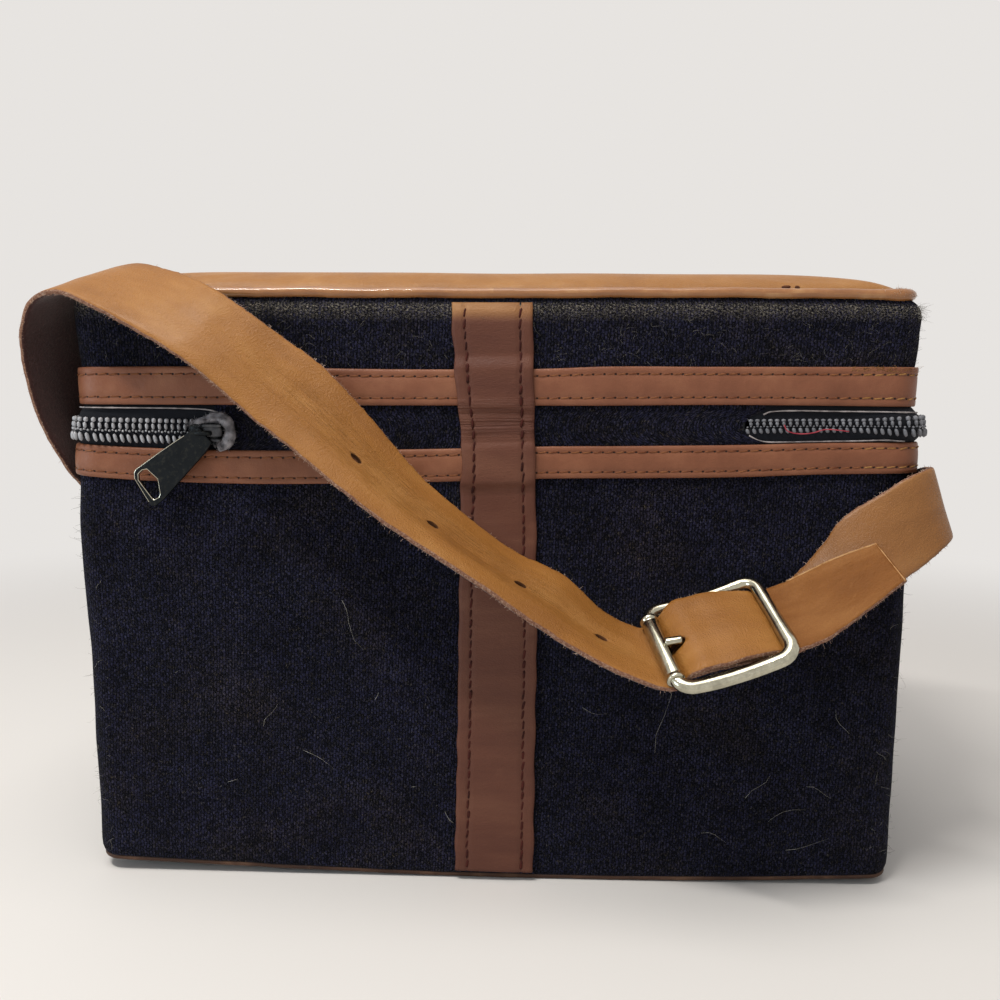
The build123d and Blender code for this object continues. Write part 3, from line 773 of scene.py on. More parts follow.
def swept_wall(name, outer, inner_out, paint, seed, step=2.0, rough=0.12, foot=None):
    """Wall of cloth or leather from its outer face's (out, z) points, swept round the box.

    Its texture runs along the profile, or, where a foot is given, up from that height.
    """
    s = around(step)
    ring = s[:-1]
    profile = np.array([*outer, (inner_out, outer[-1][1]), (inner_out, outer[0][1])], float)
    points = wall(ring[:, None], profile[None, :, 0], profile[None, :, 1])
    count = len(outer)
    shake = ripple(points, 9.0, seed)[:, :count] * rough + ripple(points, 31.0, seed + 1)[:, :count] * rough
    normal = unit(wall(ring, 1.0, 80.0) - wall(ring, 0.0, 80.0))
    points[:, :count] += normal[:, None] * shake[..., None]
    if foot is None:
        run = np.concatenate([[0], np.cumsum(np.linalg.norm(np.diff(profile, axis=0), axis=1))])
        v = profile[0, 1] + np.append(run, run[-1] + 1)
    else:
        v = np.append(profile[:, 1], profile[0, 1]) - foot
    shape = Shape()
    shape.grid(points, s, v, wrap_u=True, wrap_v=True)
    return shape.build(name, paint)


def make_body_cloth():
    """Cloth over the lower walls, tucked under the base piping."""
    z = steps(WALL_FOOT + 3, GAP_FOOT - 0.6, 3.0)
    outer = [(-2.4, 1.7), (-1.3, 2.0), (-0.6, 2.9), (-0.15, 4.4)] + [(0.0, h) for h in z]
    cloth = swept_wall("body_tweed", outer, -CLOTH_T, "body_tweed", 3)
    settle(cloth, "case", "tweed", "body_cover")


def make_lid_cloth():
    """Cloth over the lid's walls, rolled in under the top piping."""
    z = steps(GAP_HEAD + 0.6, LID_EDGE - 4.5, 2.5)
    outer = [(0.0, h) for h in z]
    for turn in np.radians([15, 30, 45, 60, 75, 90]):
        outer.append((-2.9 * (1 - math.cos(turn)), LID_EDGE - 3.5 + 5.1 * math.sin(turn)))
    cloth = swept_wall("lid_tweed", outer, -3.4, "lid_tweed", 5)
    settle(cloth, "lid", "tweed", "lid_cover")


def make_board(name, node, body, edge, plate, shoulder):
    """Box of fibre board, open at its edge, with a plate at its other end."""
    s = ring_places(4.0)
    way = 1 if plate > edge else -1
    outside = -CLOTH_GAP - CLOTH_T
    inside = -CLOTH_T - CLOTH_GAP - BOARD_T
    levels = np.linspace(edge, plate - way * shoulder, 7)
    rows = [(outside, z) for z in levels[::-1]] + [(inside, z) for z in levels]
    rows = [(inside, plate)] + rows + [(inside, plate - way * BOARD_T)]
    at = np.stack([wall(s[:-1], out, z) for out, z in rows], 1)
    shape = Shape()
    shape.grid(at, s, np.arange(float(len(rows))), wrap_u=True)
    for k in (0, -1):
        shape.close(at[:, k], [0, 0, rows[k][1]])
    board = shape.build(name, "board")
    weld(board)
    settle(board, body, "board", node)


def band_profile(foot, height, stitch_rows):
    """Outer face of a leather band: soft edges, two sunk stitch lines and a swell between them."""
    face = BAND_T
    middle = height / 2
    rows = [(0.25, 0.0), (face - 0.35, 0.05), (face - 0.08, 0.4), (face, 1.0)]
    for row in stitch_rows:
        rows += [(face + 0.03, row - 0.6), (face - 0.20, row), (face + 0.05, row + 0.6)]
        if row < middle:
            rows += [(face + 0.14, middle - 1.6), (face + 0.18, middle), (face + 0.14, middle + 1.6)]
    rows += [(face, height - 1.0), (face - 0.08, height - 0.4), (face - 0.35, height - 0.05), (0.25, height)]
    return [(out, foot + up) for out, up in rows]


def make_band(name, node, body, foot, height, stitch_rows, paint, seed):
    """Leather band all round, with its two rows of stitches, which are golden at the right end."""
    profile = band_profile(foot, height, stitch_rows)
    band = swept_wall(name, profile, 0.1, paint, seed, STITCH_PITCH / 2, 0.08, foot)
    settle(band, body, "leather_trim", node)
    count = int(LOOP / STITCH_PITCH) - 1
    s = (np.arange(count) - count // 2 + 0.5) * STITCH_PITCH
    for row in stitch_rows:
        draw = np.random.default_rng(seed + int(row))
        at, along, out, up = wall_frame(s, BAND_T - 0.12, foot + row + draw.normal(0, 0.06, len(s)))
        tilt = draw.normal(0.12, 0.05, len(s))[:, None]
        axes = np.stack([(along + up * tilt) * 1.45, out * 0.26, up * 0.27], 1)
        golden = ((at[:, 1] < 0) & (at[:, 0] > 116)).astype(int)
        shape = Shape()
        shape.copies(bead(6, 5), at, axes, golden)
        stitches = shape.build(f"{name}_stitches_{int(row)}", "thread", "gold_thread")
        settle(stitches, body, "leather_trim")


def make_frays():
    """Loose gold fibres at the right end of the upper band's top edge."""
    draw = np.random.default_rng(17)
    count = 150
    s = draw.uniform(112, 133, count)
    root = wall(s, BAND_T + 0.1, UPPER_BAND_HIGH[2] - draw.uniform(0.0, 1.4, count))
    ends = root + draw.normal(0, 1.0, (count, 3)) * np.array([0.9, 0.35, 0.4])
    frays = hairs("band_frays", root, ends, 0.14, 0.06, "gold_thread", 18)
    settle(frays, "lid", "leather_trim")


# Centre strip over the hinge

# Its edges, as height and place across
STRIP_LEFT = [(4, -11.6), (50, -10.8), (95, -10.4), (131, -10.0), (147, -9.7), (158, -10.9), (170, -12.0),
              (190, -13.2)]
STRIP_RIGHT = [(4, 14.6), (50, 14.7), (95, 14.8), (131, 13.9), (147, 13.5), (158, 13.2), (170, 12.8),
               (190, 12.4)]
STRIP_T = 1.35
STRIP_ROW = 4.0
STRIP_PITCH = 3.4
# Its section: shares of its width, with None where a row of stitches sets them, and rises over its thickness
STRIP_SHARES = [0, 0.012, 0.05, 0.11, None, None, None, 0.24, 0.4, 0.5, 0.6, 0.76, None, None, None, 0.89,
                0.95, 0.988, 1.0]
STRIP_RISES = [-0.55, -0.12, 0.02, 0.05, 0.02, -0.26, 0.02, 0.10, 0.13, 0.13, 0.13, 0.10, 0.02, -0.26, 0.02,
               0.05, 0.02, -0.12, -0.55]
# Its creases: height, depth and reach up and down
STRIP_CREASES = [(155.8, 0.42, 0.8), (152.6, 0.52, 0.9), (149.6, 0.42, 0.8), (147.6, 0.30, 0.7),
                 (132.6, 0.38, 0.9), (130.6, 0.2, 0.7), (174.0, 0.14, 1.2)]
# The zip slots, left and right: the rise of each one's middle over the zip's, and where its round end is
SLOT_ENDS = {-1: (0.4, 82.6), 1: (1.0, 79.6)}


def strip_out(z):
    """How far the strip's back stands out of the wall, over the bands and into the gap."""
    hold = [(2, 0.15), (LOWER_BAND_LOW[2] - 4, 0.15), (LOWER_BAND_LOW[2] - 0.5, BAND_T + 0.05),
            (GAP_FOOT - 0.5, BAND_T + 0.05), (GAP_FOOT + 2.2, 0.75), (GAP_HEAD - 2.2, 0.75),
            (GAP_HEAD + 0.5, BAND_T + 0.05), (UPPER_BAND_HIGH[2] + 0.5, BAND_T + 0.05),
            (UPPER_BAND_HIGH[2] + 4, 0.15), (LID_EDGE - 6.5, 0.1), (LID_EDGE - 3, -0.5), (LID_EDGE, -1.9)]
    return np.interp(z, *np.array(hold).T)


def make_hinge_strip():
    """Leather strip up the middle of the hinge face, folded in at the hinge, with dark stitches."""
    z = steps(extent("hinge_strip_body")[0][2] - 0.2, LID_EDGE - 0.3, 0.9)
    left, right = keyed(STRIP_LEFT, z), keyed(STRIP_RIGHT, z)
    inner = STRIP_ROW / (right - left)
    left = left + ripple(z[:, None], 14, 21) * 0.22
    right = right + ripple(z[:, None], 17, 22) * 0.22
    back = strip_out(z)
    last = len(STRIP_SHARES) - 1
    share = np.tile(np.array(STRIP_SHARES, float), (len(z), 1))
    for k, offset in ((4, -0.022), (5, 0.0), (6, 0.022)):
        share[:, k] = inner + offset
        share[:, last - k] = 1 - inner - offset
    x = left[:, None] + share * (right - left)[:, None]
    creases = np.zeros_like(z)
    for at, depth, reach in STRIP_CREASES:
        creases -= depth * np.exp(-((z - at) / reach) ** 2)
    face = back[:, None] + STRIP_T + np.array(STRIP_RISES)[None] + creases[:, None]
    spots = np.stack([x, np.zeros_like(x), np.broadcast_to(z[:, None], x.shape)], -1)
    face = face + ripple(spots, 6.0, 23) * 0.07 + ripple(spots, 22.0, 24) * 0.1
    face = np.maximum(face, back[:, None] + 0.4)
    front = np.stack([x, -HALF_D - face, spots[..., 2]], -1)
    rear_x = np.stack([right, left], 1)
    rear_y = np.broadcast_to(-HALF_D - back[:, None], rear_x.shape)
    rear = np.stack([rear_x, rear_y, np.broadcast_to(z[:, None], rear_x.shape)], -1)
    points = lean(np.concatenate([front, rear], 1))
    shape = Shape()
    v = np.concatenate([np.linspace(0, 25, last + 1), [26, 50, 51]])
    shape.grid(points[:, ::-1], z, v[::-1], wrap_v=True, caps=True)
    strip = shape.build("hinge_strip", "strip")
    at_z = np.arange(z[0] + 2.5, z[-1] - 1.2, STRIP_PITCH)
    count = len(at_z)
    stitches = Shape()
    for seed, edge, offset in ((30, STRIP_LEFT, STRIP_ROW), (31, STRIP_RIGHT, -STRIP_ROW)):
        draw = np.random.default_rng(seed)
        row = keyed(edge, at_z) + offset + draw.normal(0, 0.12, count)
        out = strip_out(at_z) + STRIP_T - 0.16
        at = lean(np.stack([row, -HALF_D - out, at_z], -1))
        slope = np.gradient(at, axis=0) / STRIP_PITCH
        tilt = draw.normal(0.16, 0.05, count)[:, None] * np.array([1.0, 0, 0])
        swell = draw.uniform(0.34, 0.52, count)[:, None]
        length = draw.uniform(1.4, 1.85, count)[:, None]
        axes = np.stack([(slope + tilt) * length, swell * [[1.0, 0, 0]], swell * [[0, -0.8, 0]]], 1)
        stitches.copies(bead(6, 5), at, axes)
    threads = stitches.build("hinge_strip_stitches", "dark_thread")
    for piece in (strip, threads):
        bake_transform(piece)
    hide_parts("hinge_strip_body", "hinge_strip_lid")


def zip_level(s):
    """Height of the zip's middle: it runs a little higher at the right."""
    near = from_middle(s)
    return ZIP_Z + 0.9 * eased((near - 60) / 25) * (1 - eased((near - 150) / 60))


def slot_end(z, side):
    """Where the cloth of the gap stops beside a zip slot, as a distance from the middle."""
    rise, end = SLOT_ENDS[side]
    reach = np.clip(np.abs(z - (ZIP_Z + rise)) / 5.2, 0, 1)
    return end + 6.5 * reach ** 2.6


def make_hinge_cloth():
    """Cloth in the gap between the bands, cut round at the two zip slots."""
    z = steps(GAP_FOOT - 0.8, GAP_HEAD + 1.0, 0.8)
    t = np.linspace(-1, 1, 121)
    left, right = slot_end(z, -1), slot_end(z, 1)
    x = np.where(t[None] < 0, t[None] * left[:, None], t[None] * right[:, None])
    out = 0.25 + 0.35 * np.cos((z - ZIP_Z) / 14 * math.pi)[:, None] * np.ones_like(x)
    out = out - 0.9 * eased((np.abs(t)[None] - 0.975) / 0.025)
    spots = np.stack([x, np.zeros_like(x), np.broadcast_to(z[:, None], x.shape)], -1)
    out = out + ripple(spots, 8, 41) * 0.1
    front = np.stack([x, -HALF_D - out, spots[..., 2]], -1)
    back = front + np.array([0, 1.0, 0])
    points = lean(np.concatenate([front, back[:, ::-1]], 1))
    u = np.concatenate([t * 84, t[::-1] * 84 + 0.5, [-84]])
    shape = Shape()
    shape.grid(points[:, ::-1], z, u[::-1], wrap_v=True, caps=True)
    cloth = shape.build("hinge_cloth", "body_tweed")
    layer = cloth.data.uv_layers["UVMap"].data
    flat = np.zeros(len(layer) * 2, np.float32)
    layer.foreach_get("uv", flat)
    layer.foreach_set("uv", flat.reshape(-1, 2)[:, ::-1].ravel())
    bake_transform(cloth)
    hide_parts("hinge_fabric")


# Zip

TOOTH_PITCH = 2.05
# A tooth's lobes: distance from the zip's middle, height over the tape, half width, height and depth, slant
UPPER_LOBES = [(3.15, 0.0, 0.72, 0.85, 0.75, 0.0), (1.38, 0.1, 0.55, 1.05, 0.65, 0.1),
               (0.1, 0.1, 0.35, 0.40, 0.5, 0.0)]
LOWER_LOBES = [(0.2, 0.1, 0.35, 0.40, 0.5, 0.0), (2.4, 0.0, 0.62, 1.50, 0.75, 0.28)]


def zip_out(s):
    """How far the closed zip bulges out: hardly on the hinge face, most at the corners."""
    near = from_middle(s)
    peak = np.where(near > 0, 3.1, 2.3)
    near = np.abs(near)
    return 0.1 + peak * eased((near - 108) / 24) * (1 - 0.45 * eased((near - 150) / 60))


def tooth_size(s):
    """Size of the teeth: small in the right slot, full elsewhere."""
    near = from_middle(s)
    return 1 - 0.38 * eased((near - 60) / 15) * (1 - eased((near - 112) / 22))


def make_tape(name, node, body, span, upper):
    """Half of the zip's woven tape, curving out from behind its band to the teeth."""
    s = steps(*span, 2.0)
    edge = GAP_HEAD + 0.7 if upper else GAP_FOOT - 0.7
    t = np.linspace(0, 1, 7)
    z = edge + (zip_level(s)[:, None] - edge) * t[None] * 0.995
    bow = -0.9 + (zip_out(s)[:, None] + 0.5) * np.sin(t * math.pi / 2)[None] ** 0.8
    order = slice(None) if not upper else slice(None, None, -1)
    outer = wall(s[:, None], bow, z)[:, order]
    inner = wall(s[:, None], bow - 0.6, z)[:, order]
    points = np.concatenate([outer, inner[:, ::-1]], 1)
    run = z[0, order]
    v = np.concatenate([run, run[::-1] + 20, run[:1]])
    shape = Shape()
    shape.grid(points, s, v, wrap_v=True, caps=True)
    tape = shape.build(name, "tape")
    settle(tape, body, "zip_tape", node)


def make_teeth(name, node, body, span, upper, paint="teeth"):
    """One row of moulded teeth, whose heads lock between the other row's."""
    s = np.arange(span[0] + 1.2, span[1] - 0.4, TOOTH_PITCH)
    if upper:
        s = s + TOOTH_PITCH / 2
    sign = 1 if upper else -1
    size = tooth_size(s)
    grow = size[:, None]
    out = zip_out(s) + 0.1
    shape = Shape()
    for up, depth, wide, tall, thick, slant in UPPER_LOBES if upper else LOWER_LOBES:
        at, along, away, rise = wall_frame(s, out + depth, zip_level(s) + 0.1 + sign * up * size)
        axes = np.stack([(rise - along * slant) * tall * grow, along * wide, away * thick * grow], 1)
        shape.copies(bead(8, 5, 2.6), at, axes)
    teeth = shape.build(name, paint)
    settle(teeth, body, "zip_teeth", node)


def make_zip():
    """Tapes and teeth: on the hinge face from each slot to its corner, and round the sides and the back."""
    corner = CORNER_END + 0.6
    for word, tape_span, teeth_span, paint in (
            ("left", (-corner, -SLOT_X + 3), (-corner, SLIDER_X - 1.0), "teeth"),
            ("right", (SLOT_X - 3, corner), (79.0, corner), "dull_teeth")):
        for upper, row in ((False, "lower"), (True, "upper")):
            make_tape(f"zip_tape_{word}_{row}", f"zip_tape_front_{word}", "case", tape_span, upper)
            make_teeth(f"zip_teeth_{word}_{row}", f"zip_teeth_front_{word}", "case", teeth_span, upper, paint)
    span = (corner + 0.2, LOOP - corner - 0.2)
    make_tape("zip_tape_case", "zip_tape_lower", "case", span, False)
    make_tape("zip_tape_lid", "zip_tape_upper", "lid", span, True)
    make_teeth("zip_teeth_case", "zip_teeth_lower", "case", span, False)
    make_teeth("zip_teeth_lid", "zip_teeth_upper", "lid", span, True)


# Piping and padded top


PIPING_Z = LID_EDGE + 2.65
PIPING_INSET = 1.4
PIPING_LOW, PIPING_HIGH = extent("top_piping")
PIPING_R = (PIPING_HIGH[2] - PIPING_LOW[2]) / 2 + 0.05


def make_piping(name, node, body, z, inset, radius, paint, seed, lumps, swell):
    """Leather cord round the box, with soft lumps along it and a worn swelling at the right front corner."""
    s = ring_places(2.0)
    ring = s[:-1]
    base = wall(ring, -inset, np.full(len(ring), z))
    wave = ripple(base, 26, seed) * lumps + ripple(base, 8, seed + 1) * lumps * 0.4
    path = base + np.stack([np.zeros_like(wave), np.zeros_like(wave), wave], -1)
    thick = radius + ripple(base, 15, seed + 2) * lumps * 0.5
    thick = thick + swell * np.exp(-((ring - CORNER_START - 3) / 6.5) ** 2)
    shape = Shape()
    tube(shape, path, thick, 20, closed=True)
    cord = shape.build(name, paint)
    settle(cord, body, "leather_piping", node)


def make_pipings():
    """Cords round the top's edge and the base's edge."""
    make_piping("top_piping_cord", "top_piping", "lid", PIPING_Z, PIPING_INSET, PIPING_R, "piping", 51, 0.16,
                0.35)
    # The base cord takes the base leather's paint, dark as painted shade.
    make_piping("base_piping_cord", "base_piping", "case", 1.75, 1.7, 0.95, "base", 55, 0.08, 0.0)
    make_worn_corner()


def make_worn_corner():
    """Pale worn fibres where the top's piping turns the right front corner."""
    draw = np.random.default_rng(57)
    count = 130
    s = draw.normal(CORNER_START + 4, 3.6, count)
    turn = draw.uniform(-0.3, 2.3, count)
    radius = PIPING_R + 0.25
    root = wall(s, -PIPING_INSET + radius * np.cos(turn), PIPING_Z + radius * np.sin(turn))
    reach = np.abs(draw.normal(0, 0.5, count)) + 0.2
    ends = root + draw.normal(0, 0.55, (count, 3)) * reach[:, None]
    fibres = hairs("piping_fibres", root, ends, 0.12, 0.06, "hide_fibre", 58)
    settle(fibres, "lid", "leather_piping")


# Section of the padded top: distance in from the long sides, from the short sides, corner radius, height
CROWN = [(3.2, 3.2, 5, 0.2), (3.3, 3.3, 5, 2.2), (3.8, 4.4, 5, 4.0), (5.2, 8, 6, 5.9), (7.8, 13, 8, 7.6),
         (11.5, 20, 11, 9.2), (17, 28, 15, 10.4), (26, 38, 19, 11.3), (38, 50, 20, 11.9), (50, 70, 9, 12.1)]
# Two nicks in its front slope: their middles, and each one's three scaled directions
NICKS_AT = np.array([[91.7, -HALF_D + 4.2, LID_EDGE + 5.2], [95.2, -HALF_D + 4.2, LID_EDGE + 5.1]])
NICKS_AXES = np.array([[[1.5, 0, 0.1], [0, 0.5, 0.3], [0, -0.1, 0.42]],
                       [[0.8, 0, 0], [0, 0.4, 0.3], [0, -0.1, 0.45]]])


def make_top_cushion():
    """Padded leather top: full over the middle, with pulled wrinkles in from the piping."""
    s = ring_places(2.5)
    ring = s[:-1]
    fine = np.concatenate([[0.0], steps(1, len(CROWN) - 1, 0.34)])
    rows = []
    for k, inset_y, inset_x, radius, height in zip(fine, *through(CROWN, fine)):
        at = inset_loop(ring, inset_y, inset_x, radius, LID_EDGE + height)
        pull = math.sin(math.pi * min(1.0, max(k - 0.8, 0) / 4.5))
        at[:, 2] += ripple(np.stack([ring, np.full(len(ring), k * 5.0)], -1), 16, 61) * 0.22 * pull
        at[:, 2] += ripple(at[:, :2], 48, 63) * 0.28 * eased((k - 2) / 3)
        rows.append(at)
    points = np.stack(rows, 1)
    shape = Shape()
    shape.grid(points, s, fine, wrap_u=True)
    crest = points[:, -1]
    middle = crest * 0.5
    middle[:, 2] = crest[:, 2].mean() + 0.4
    shape.grid(np.stack([crest, middle], 1), s, [50, 60], wrap_u=True)
    shape.close(middle, middle.mean(0) + [0, 0, 0.2])
    shape.close(points[:, 0], [0, 0, LID_EDGE + 0.2], flipped=True)
    cushion = shape.build("top_cushion", "top")
    weld(cushion)
    settle(cushion, "lid", "leather_top", "top_panel", "top_padding")
    shape = Shape()
    shape.copies(bead(8, 5, 2.6), NICKS_AT, NICKS_AXES)
    nicks = shape.build("top_nicks", "tear")
    settle(nicks, "lid", "leather_top")


def weld(obj):
    """Joins points of a mesh that lie on each other and turns its faces outward."""
    mesh = bmesh.new()
    mesh.from_mesh(obj.data)
    bmesh.ops.remove_doubles(mesh, verts=mesh.verts, dist=0.02 * MM)
    bmesh.ops.recalc_face_normals(mesh, faces=mesh.faces)
    mesh.to_mesh(obj.data)
    mesh.free()


def make_base():
    """Leather base, rolled up to its piping."""
    s = ring_places(4.0)
    ring = s[:-1]
    sections = [(1.9, WALL_FOOT, 1.0), (1.9, 2.2, 1.0), (2.6, 1.3, 1.0), (4.5, 0.9, 0.85), (8.5, 0.5, 0.45),
                (15.0, 0.12, 0.08), (24.0, 0.0, 0.0)]
    rows = []
    for inset, height, share in sections:
        at = inset_loop(ring, inset, inset, max(CORNER_R - inset, 3.0), height)
        at[:, 2] += np.maximum(keyed(RISE[0][1], at[:, 0]) * share, -height)
        rows.append(at)
    points = np.stack(rows, 1)
    shape = Shape()
    shape.grid(points[:, ::-1], s, np.arange(float(len(rows))), wrap_u=True)
    for k, height in ((-1, 0.0), (0, WALL_FOOT)):
        shape.close(points[:, k], [0, 0, height], flipped=True)
    # Its paint is very dark: painted shade under the box.
    base = shape.build("base_leather", "base")
    weld(base)
    settle(base, "case", "leather_base", "base_panel")


# Strap: pairs of a point on its lower or front edge and one on its upper or rear edge, as in the solids

SIDE_X = HALF_W + 1.2
LONG_STRAP = [
    ((-SIDE_X, 0, 97), (-SIDE_X, 18, 115)),
    ((-SIDE_X, -17, 112.5), (-SIDE_X, 1, 130.5)),
    ((-137.4, -28, 119), (-137.4, -10, 137)),
    ((-138.2, -39, 125.5), (-138.0, -21, 144)),
    ((-141.0, -52, 136), (-140.6, -34, 155)),
    ((-146.0, -58, 151), (-140.5, -35, 166)),
    ((-148.2, -62, 166), (-140.8, -36, 177)),
    ((-147.4, -65, 180), (-139.0, -40, 190.0)),
    ((-143.2, -67, 188.8), (-131.0, -45, 198.2)),
    ((-135.0, -69, 191.5), (-118.5, -50, 201.6)),
    ((-121.0, -72, 186.5), (-102.0, -57, 199.2)),
    ((-109.6, -75, 181), (-88.5, -63, 194)),
    ((-98.5, -77, 175), (-80.0, -65.5, 189)),
    ((-89.5, -78, 169), (-72.5, -66.5, 184)),
    ((-80.2, -78.5, 161.3), (-62.0, -67, 176.5)),
    ((-70.5, -79.5, 153.3), (-53.0, -67.5, 170)),
    ((-59.5, -81.5, 145.2), (-43.5, -68, 160.5)),
    ((-46.0, -84.5, 134.6), (-31.0, -68, 146)),
    ((-33.0, -86.5, 125), (-21.0, -67.5, 134.5)),
    ((-16.5, -87.5, 114.5), (-7.9, -67, 122.9)),
    ((0.0, -88, 103.5), (8.4, -67, 111.5)),
    ((14.8, -88.5, 93.5), (23.0, -67.5, 104.5)),
    ((28.0, -89.5, 85.5), (34.0, -68, 94.5)),
    ((41.3, -90.5, 79.5), (42.0, -68.5, 90)),
]
BUCKLE_AT = np.array([68.9, -81.3, 91.1])
BUCKLE_U = unit(np.array([0.951, 0.088, 0.297]))
BUCKLE_V = unit(np.array([-0.243, 0.811, 0.533]))
BUCKLE_N = unit(np.cross(BUCKLE_U, BUCKLE_V))
BUCKLE_W = 35.3
BUCKLE_H = 31.6
STRAP_T = 2.0
STRAP_W = 25.0
# Share of the long strap's width at which its crease and its holes run
CREASE_SHARE = 0.47
# The straps' way through the buckle: place along it, height, shift across and half width
LONG_PASS = [(-18.0, -3.7, 0, 12.7), (-15.2, -2.9, 0.3, 12.7), (-12.6, 0.5, 0.2, 13.0),
             (-9.5, 2.1, 0.4, 13.9), (-4.0, 1.7, 0.5, 14.1), (4.0, 1.0, 0.5, 13.8), (11.5, -0.9, 0.2, 13.0),
             (18.0, -3.3, 0, 12.7), (26.0, -3.3, 0, 12.7)]
SHORT_PASS = [(-14.5, -6.4, -0.5, 8.0), (-8.0, -3.8, -0.3, 10.0), (4.0, -2.4, 0, 12.2), (11.5, -3.6, 0, 12.7),
              (18.0, -5.6, 0.6, 12.4), (26.0, -5.6, 1.4, 12.2)]
LONG_TIP = [((106.5, -85, 94.5), (104.0, -70.5, 110.8)), ((124.0, -82, 107.4), (118.3, -71.5, 116.9))]
SHORT_STRAP = [
    ((110.5, -79.5, 95.5), (103.5, -63.5, 114)),
    ((123.5, -75.5, 105.0), (110.5, -64.0, 124)),
    ((133.5, -70.0, 110), (121.5, -64.0, 131.5)),
    ((141.0, -67.0, 115.5), (130.5, -64.5, 137.5)),
    ((144.5, -62.5, 117.5), (137.4, -61.0, 139.5)),
    ((144.5, -53.0, 115.5), (138.0, -51.0, 138.5)),
    ((140.5, -38.0, 109), (136.8, -37.0, 133.5)),
    ((136.4, -22.0, 104), (SIDE_X, -22.0, 129.5)),
    ((SIDE_X, -7.0, 101.8), (SIDE_X, -7.0, 127.2)),
    ((SIDE_X, 9.0, 101), (SIDE_X, 9.0, 126.4)),
]
# The plane at which the loop over the corner is split from the rest of the strap: a point on it and its
# direction
FOLD_AT = np.array([-138.0, -25.0, 130.0])
FOLD_UP = unit(np.array([0.1, 0.19, 0.97]))


def buckle_point(u, v, n):
    """Frame point from the buckle's own directions."""
    u, v, n = (np.asarray(k, float)[..., None] for k in (u, v, n))
    return BUCKLE_AT + BUCKLE_U * u + BUCKLE_V * v + BUCKLE_N * n


def buckle_pairs(way):
    """Edge pairs of a strap on its way through the buckle."""
    return [(buckle_point(u, v - half, n), buckle_point(u, v + half, n)) for u, n, v, half in way]


def smooth_pairs(pairs, step):
    """Even places along a strap, with each edge on a smooth curve through its points."""
    edges = np.array(pairs, float)
    middle = edges.mean(1)
    way = np.concatenate([[0], np.cumsum(np.linalg.norm(np.diff(middle, axis=0), axis=1))])
    fine = steps(0, way[-1], step)
    flat = edges.reshape(len(edges), 6)
    curve = np.stack([keyed(np.stack([way, flat[:, k]], -1), fine) for k in range(6)], -1)
    return fine, way, curve.reshape(-1, 2, 3)


class Strap:
    """Leather ribbon laid along edge pairs."""

    def __init__(self, pairs, crease=None):
        self.way, self.stations, edges = smooth_pairs(pairs, 1.6)
        self.a, self.b = edges[:, 0], edges[:, 1]
        self.across = self.b - self.a
        self.along = unit(np.gradient((self.a + self.b) / 2, axis=0))
        self.normal = unit(np.cross(self.along, self.across))
        self.crease = crease

    def at(self, rows, way):
        """Rows of vectors, read at places along the strap."""
        return np.stack([np.interp(way, self.way, rows[:, k]) for k in range(3)], -1)

    def lift(self, way, share):
        """Height of the grain side over the flat ribbon."""
        spots = np.stack([way, share * STRAP_W], -1)
        height = ripple(spots, 30, 71) * 0.18 + ripple(spots, 11, 72) * 0.07
        if self.crease is not None:
            depth = keyed(self.crease, way)
            valley = np.exp(-((share - CREASE_SHARE) / 0.10) ** 2)
            crown = np.exp(-((share - 0.22) / 0.16) ** 2) + 0.6 * np.exp(-((share - 0.74) / 0.17) ** 2)
            height = height + depth * (0.75 * crown - 0.85 * valley)
        return height

    def point(self, way, share, out):
        """Points on the strap, from place along it, share across it from its lower edge and height on it."""
        way, share = np.broadcast_arrays(np.atleast_1d(way), np.asarray(share, float))
        a, b, normal = self.at(self.a, way), self.at(self.b, way), unit(self.at(self.normal, way))
        return a + (b - a) * share[:, None] + normal * (self.lift(way, share) + out)[:, None]

    def shape(self):
        """Closed ribbon: grain side, flesh side and cut edges."""
        share = np.array([0.0, 0.012, 0.05, 0.12, 0.2, 0.28, 0.35, 0.41, 0.45, 0.485, 0.52, 0.57, 0.64, 0.72,
                          0.8, 0.88, 0.95, 0.988, 1.0])
        count = len(share)
        half = STRAP_T / 2 * np.array([0.45, 0.86] + [1.0] * (count - 4) + [0.86, 0.45])
        ways, shares = np.meshgrid(self.way, share, indexing="ij")
        lift = self.lift(ways, shares)
        frayed = ripple(np.stack([ways, shares * 40], -1), 2.2, 73) * 0.16 * (np.abs(shares - 0.5) > 0.46)
        place = shares + frayed / STRAP_W * 1.2
        flat = self.a[:, None] + self.across[:, None] * place[..., None]
        top = flat + self.normal[:, None] * (lift + half)[..., None]
        under = flat + self.normal[:, None] * (lift - half)[..., None]
        points = np.concatenate([top, under[:, ::-1]], 1)
        v = np.concatenate([share * STRAP_W, 30 + share * STRAP_W, [0]])
        grain, flesh, cut = 0, 1, 2
        sides = np.full(2 * count, grain)
        sides[count:-1] = flesh
        sides[[0, count - 2, count - 1, -1]] = cut
        made = Shape()
        made.grid(points, self.way, v, wrap_v=True, number=sides, caps=True)
        return made


def cut_holes(obj, places):
    """Cuts oval holes through a strap.

    Each is a middle, a direction along, one across and one down the hole, its length and its width.
    """
    angle = np.linspace(0, 2 * math.pi, 20, endpoint=False)[:, None]
    for at, along, across, down, length, width in places:
        ring = at + along * (length / 2 * np.cos(angle)) + across * (width / 2 * np.sin(angle))
        ends = np.stack([ring - down * 5, ring + down * 5], 0)
        shape = Shape()
        shape.grid(ends, [0, 1], np.arange(len(ring) + 1.0), wrap_v=True, caps=True)
        cutter = shape.build("cutter", "hole")
        weld(cutter)
        apply(obj, "BOOLEAN", operation="DIFFERENCE", solver="EXACT", object=cutter, material_mode="TRANSFER")
        bpy.data.objects.remove(cutter)


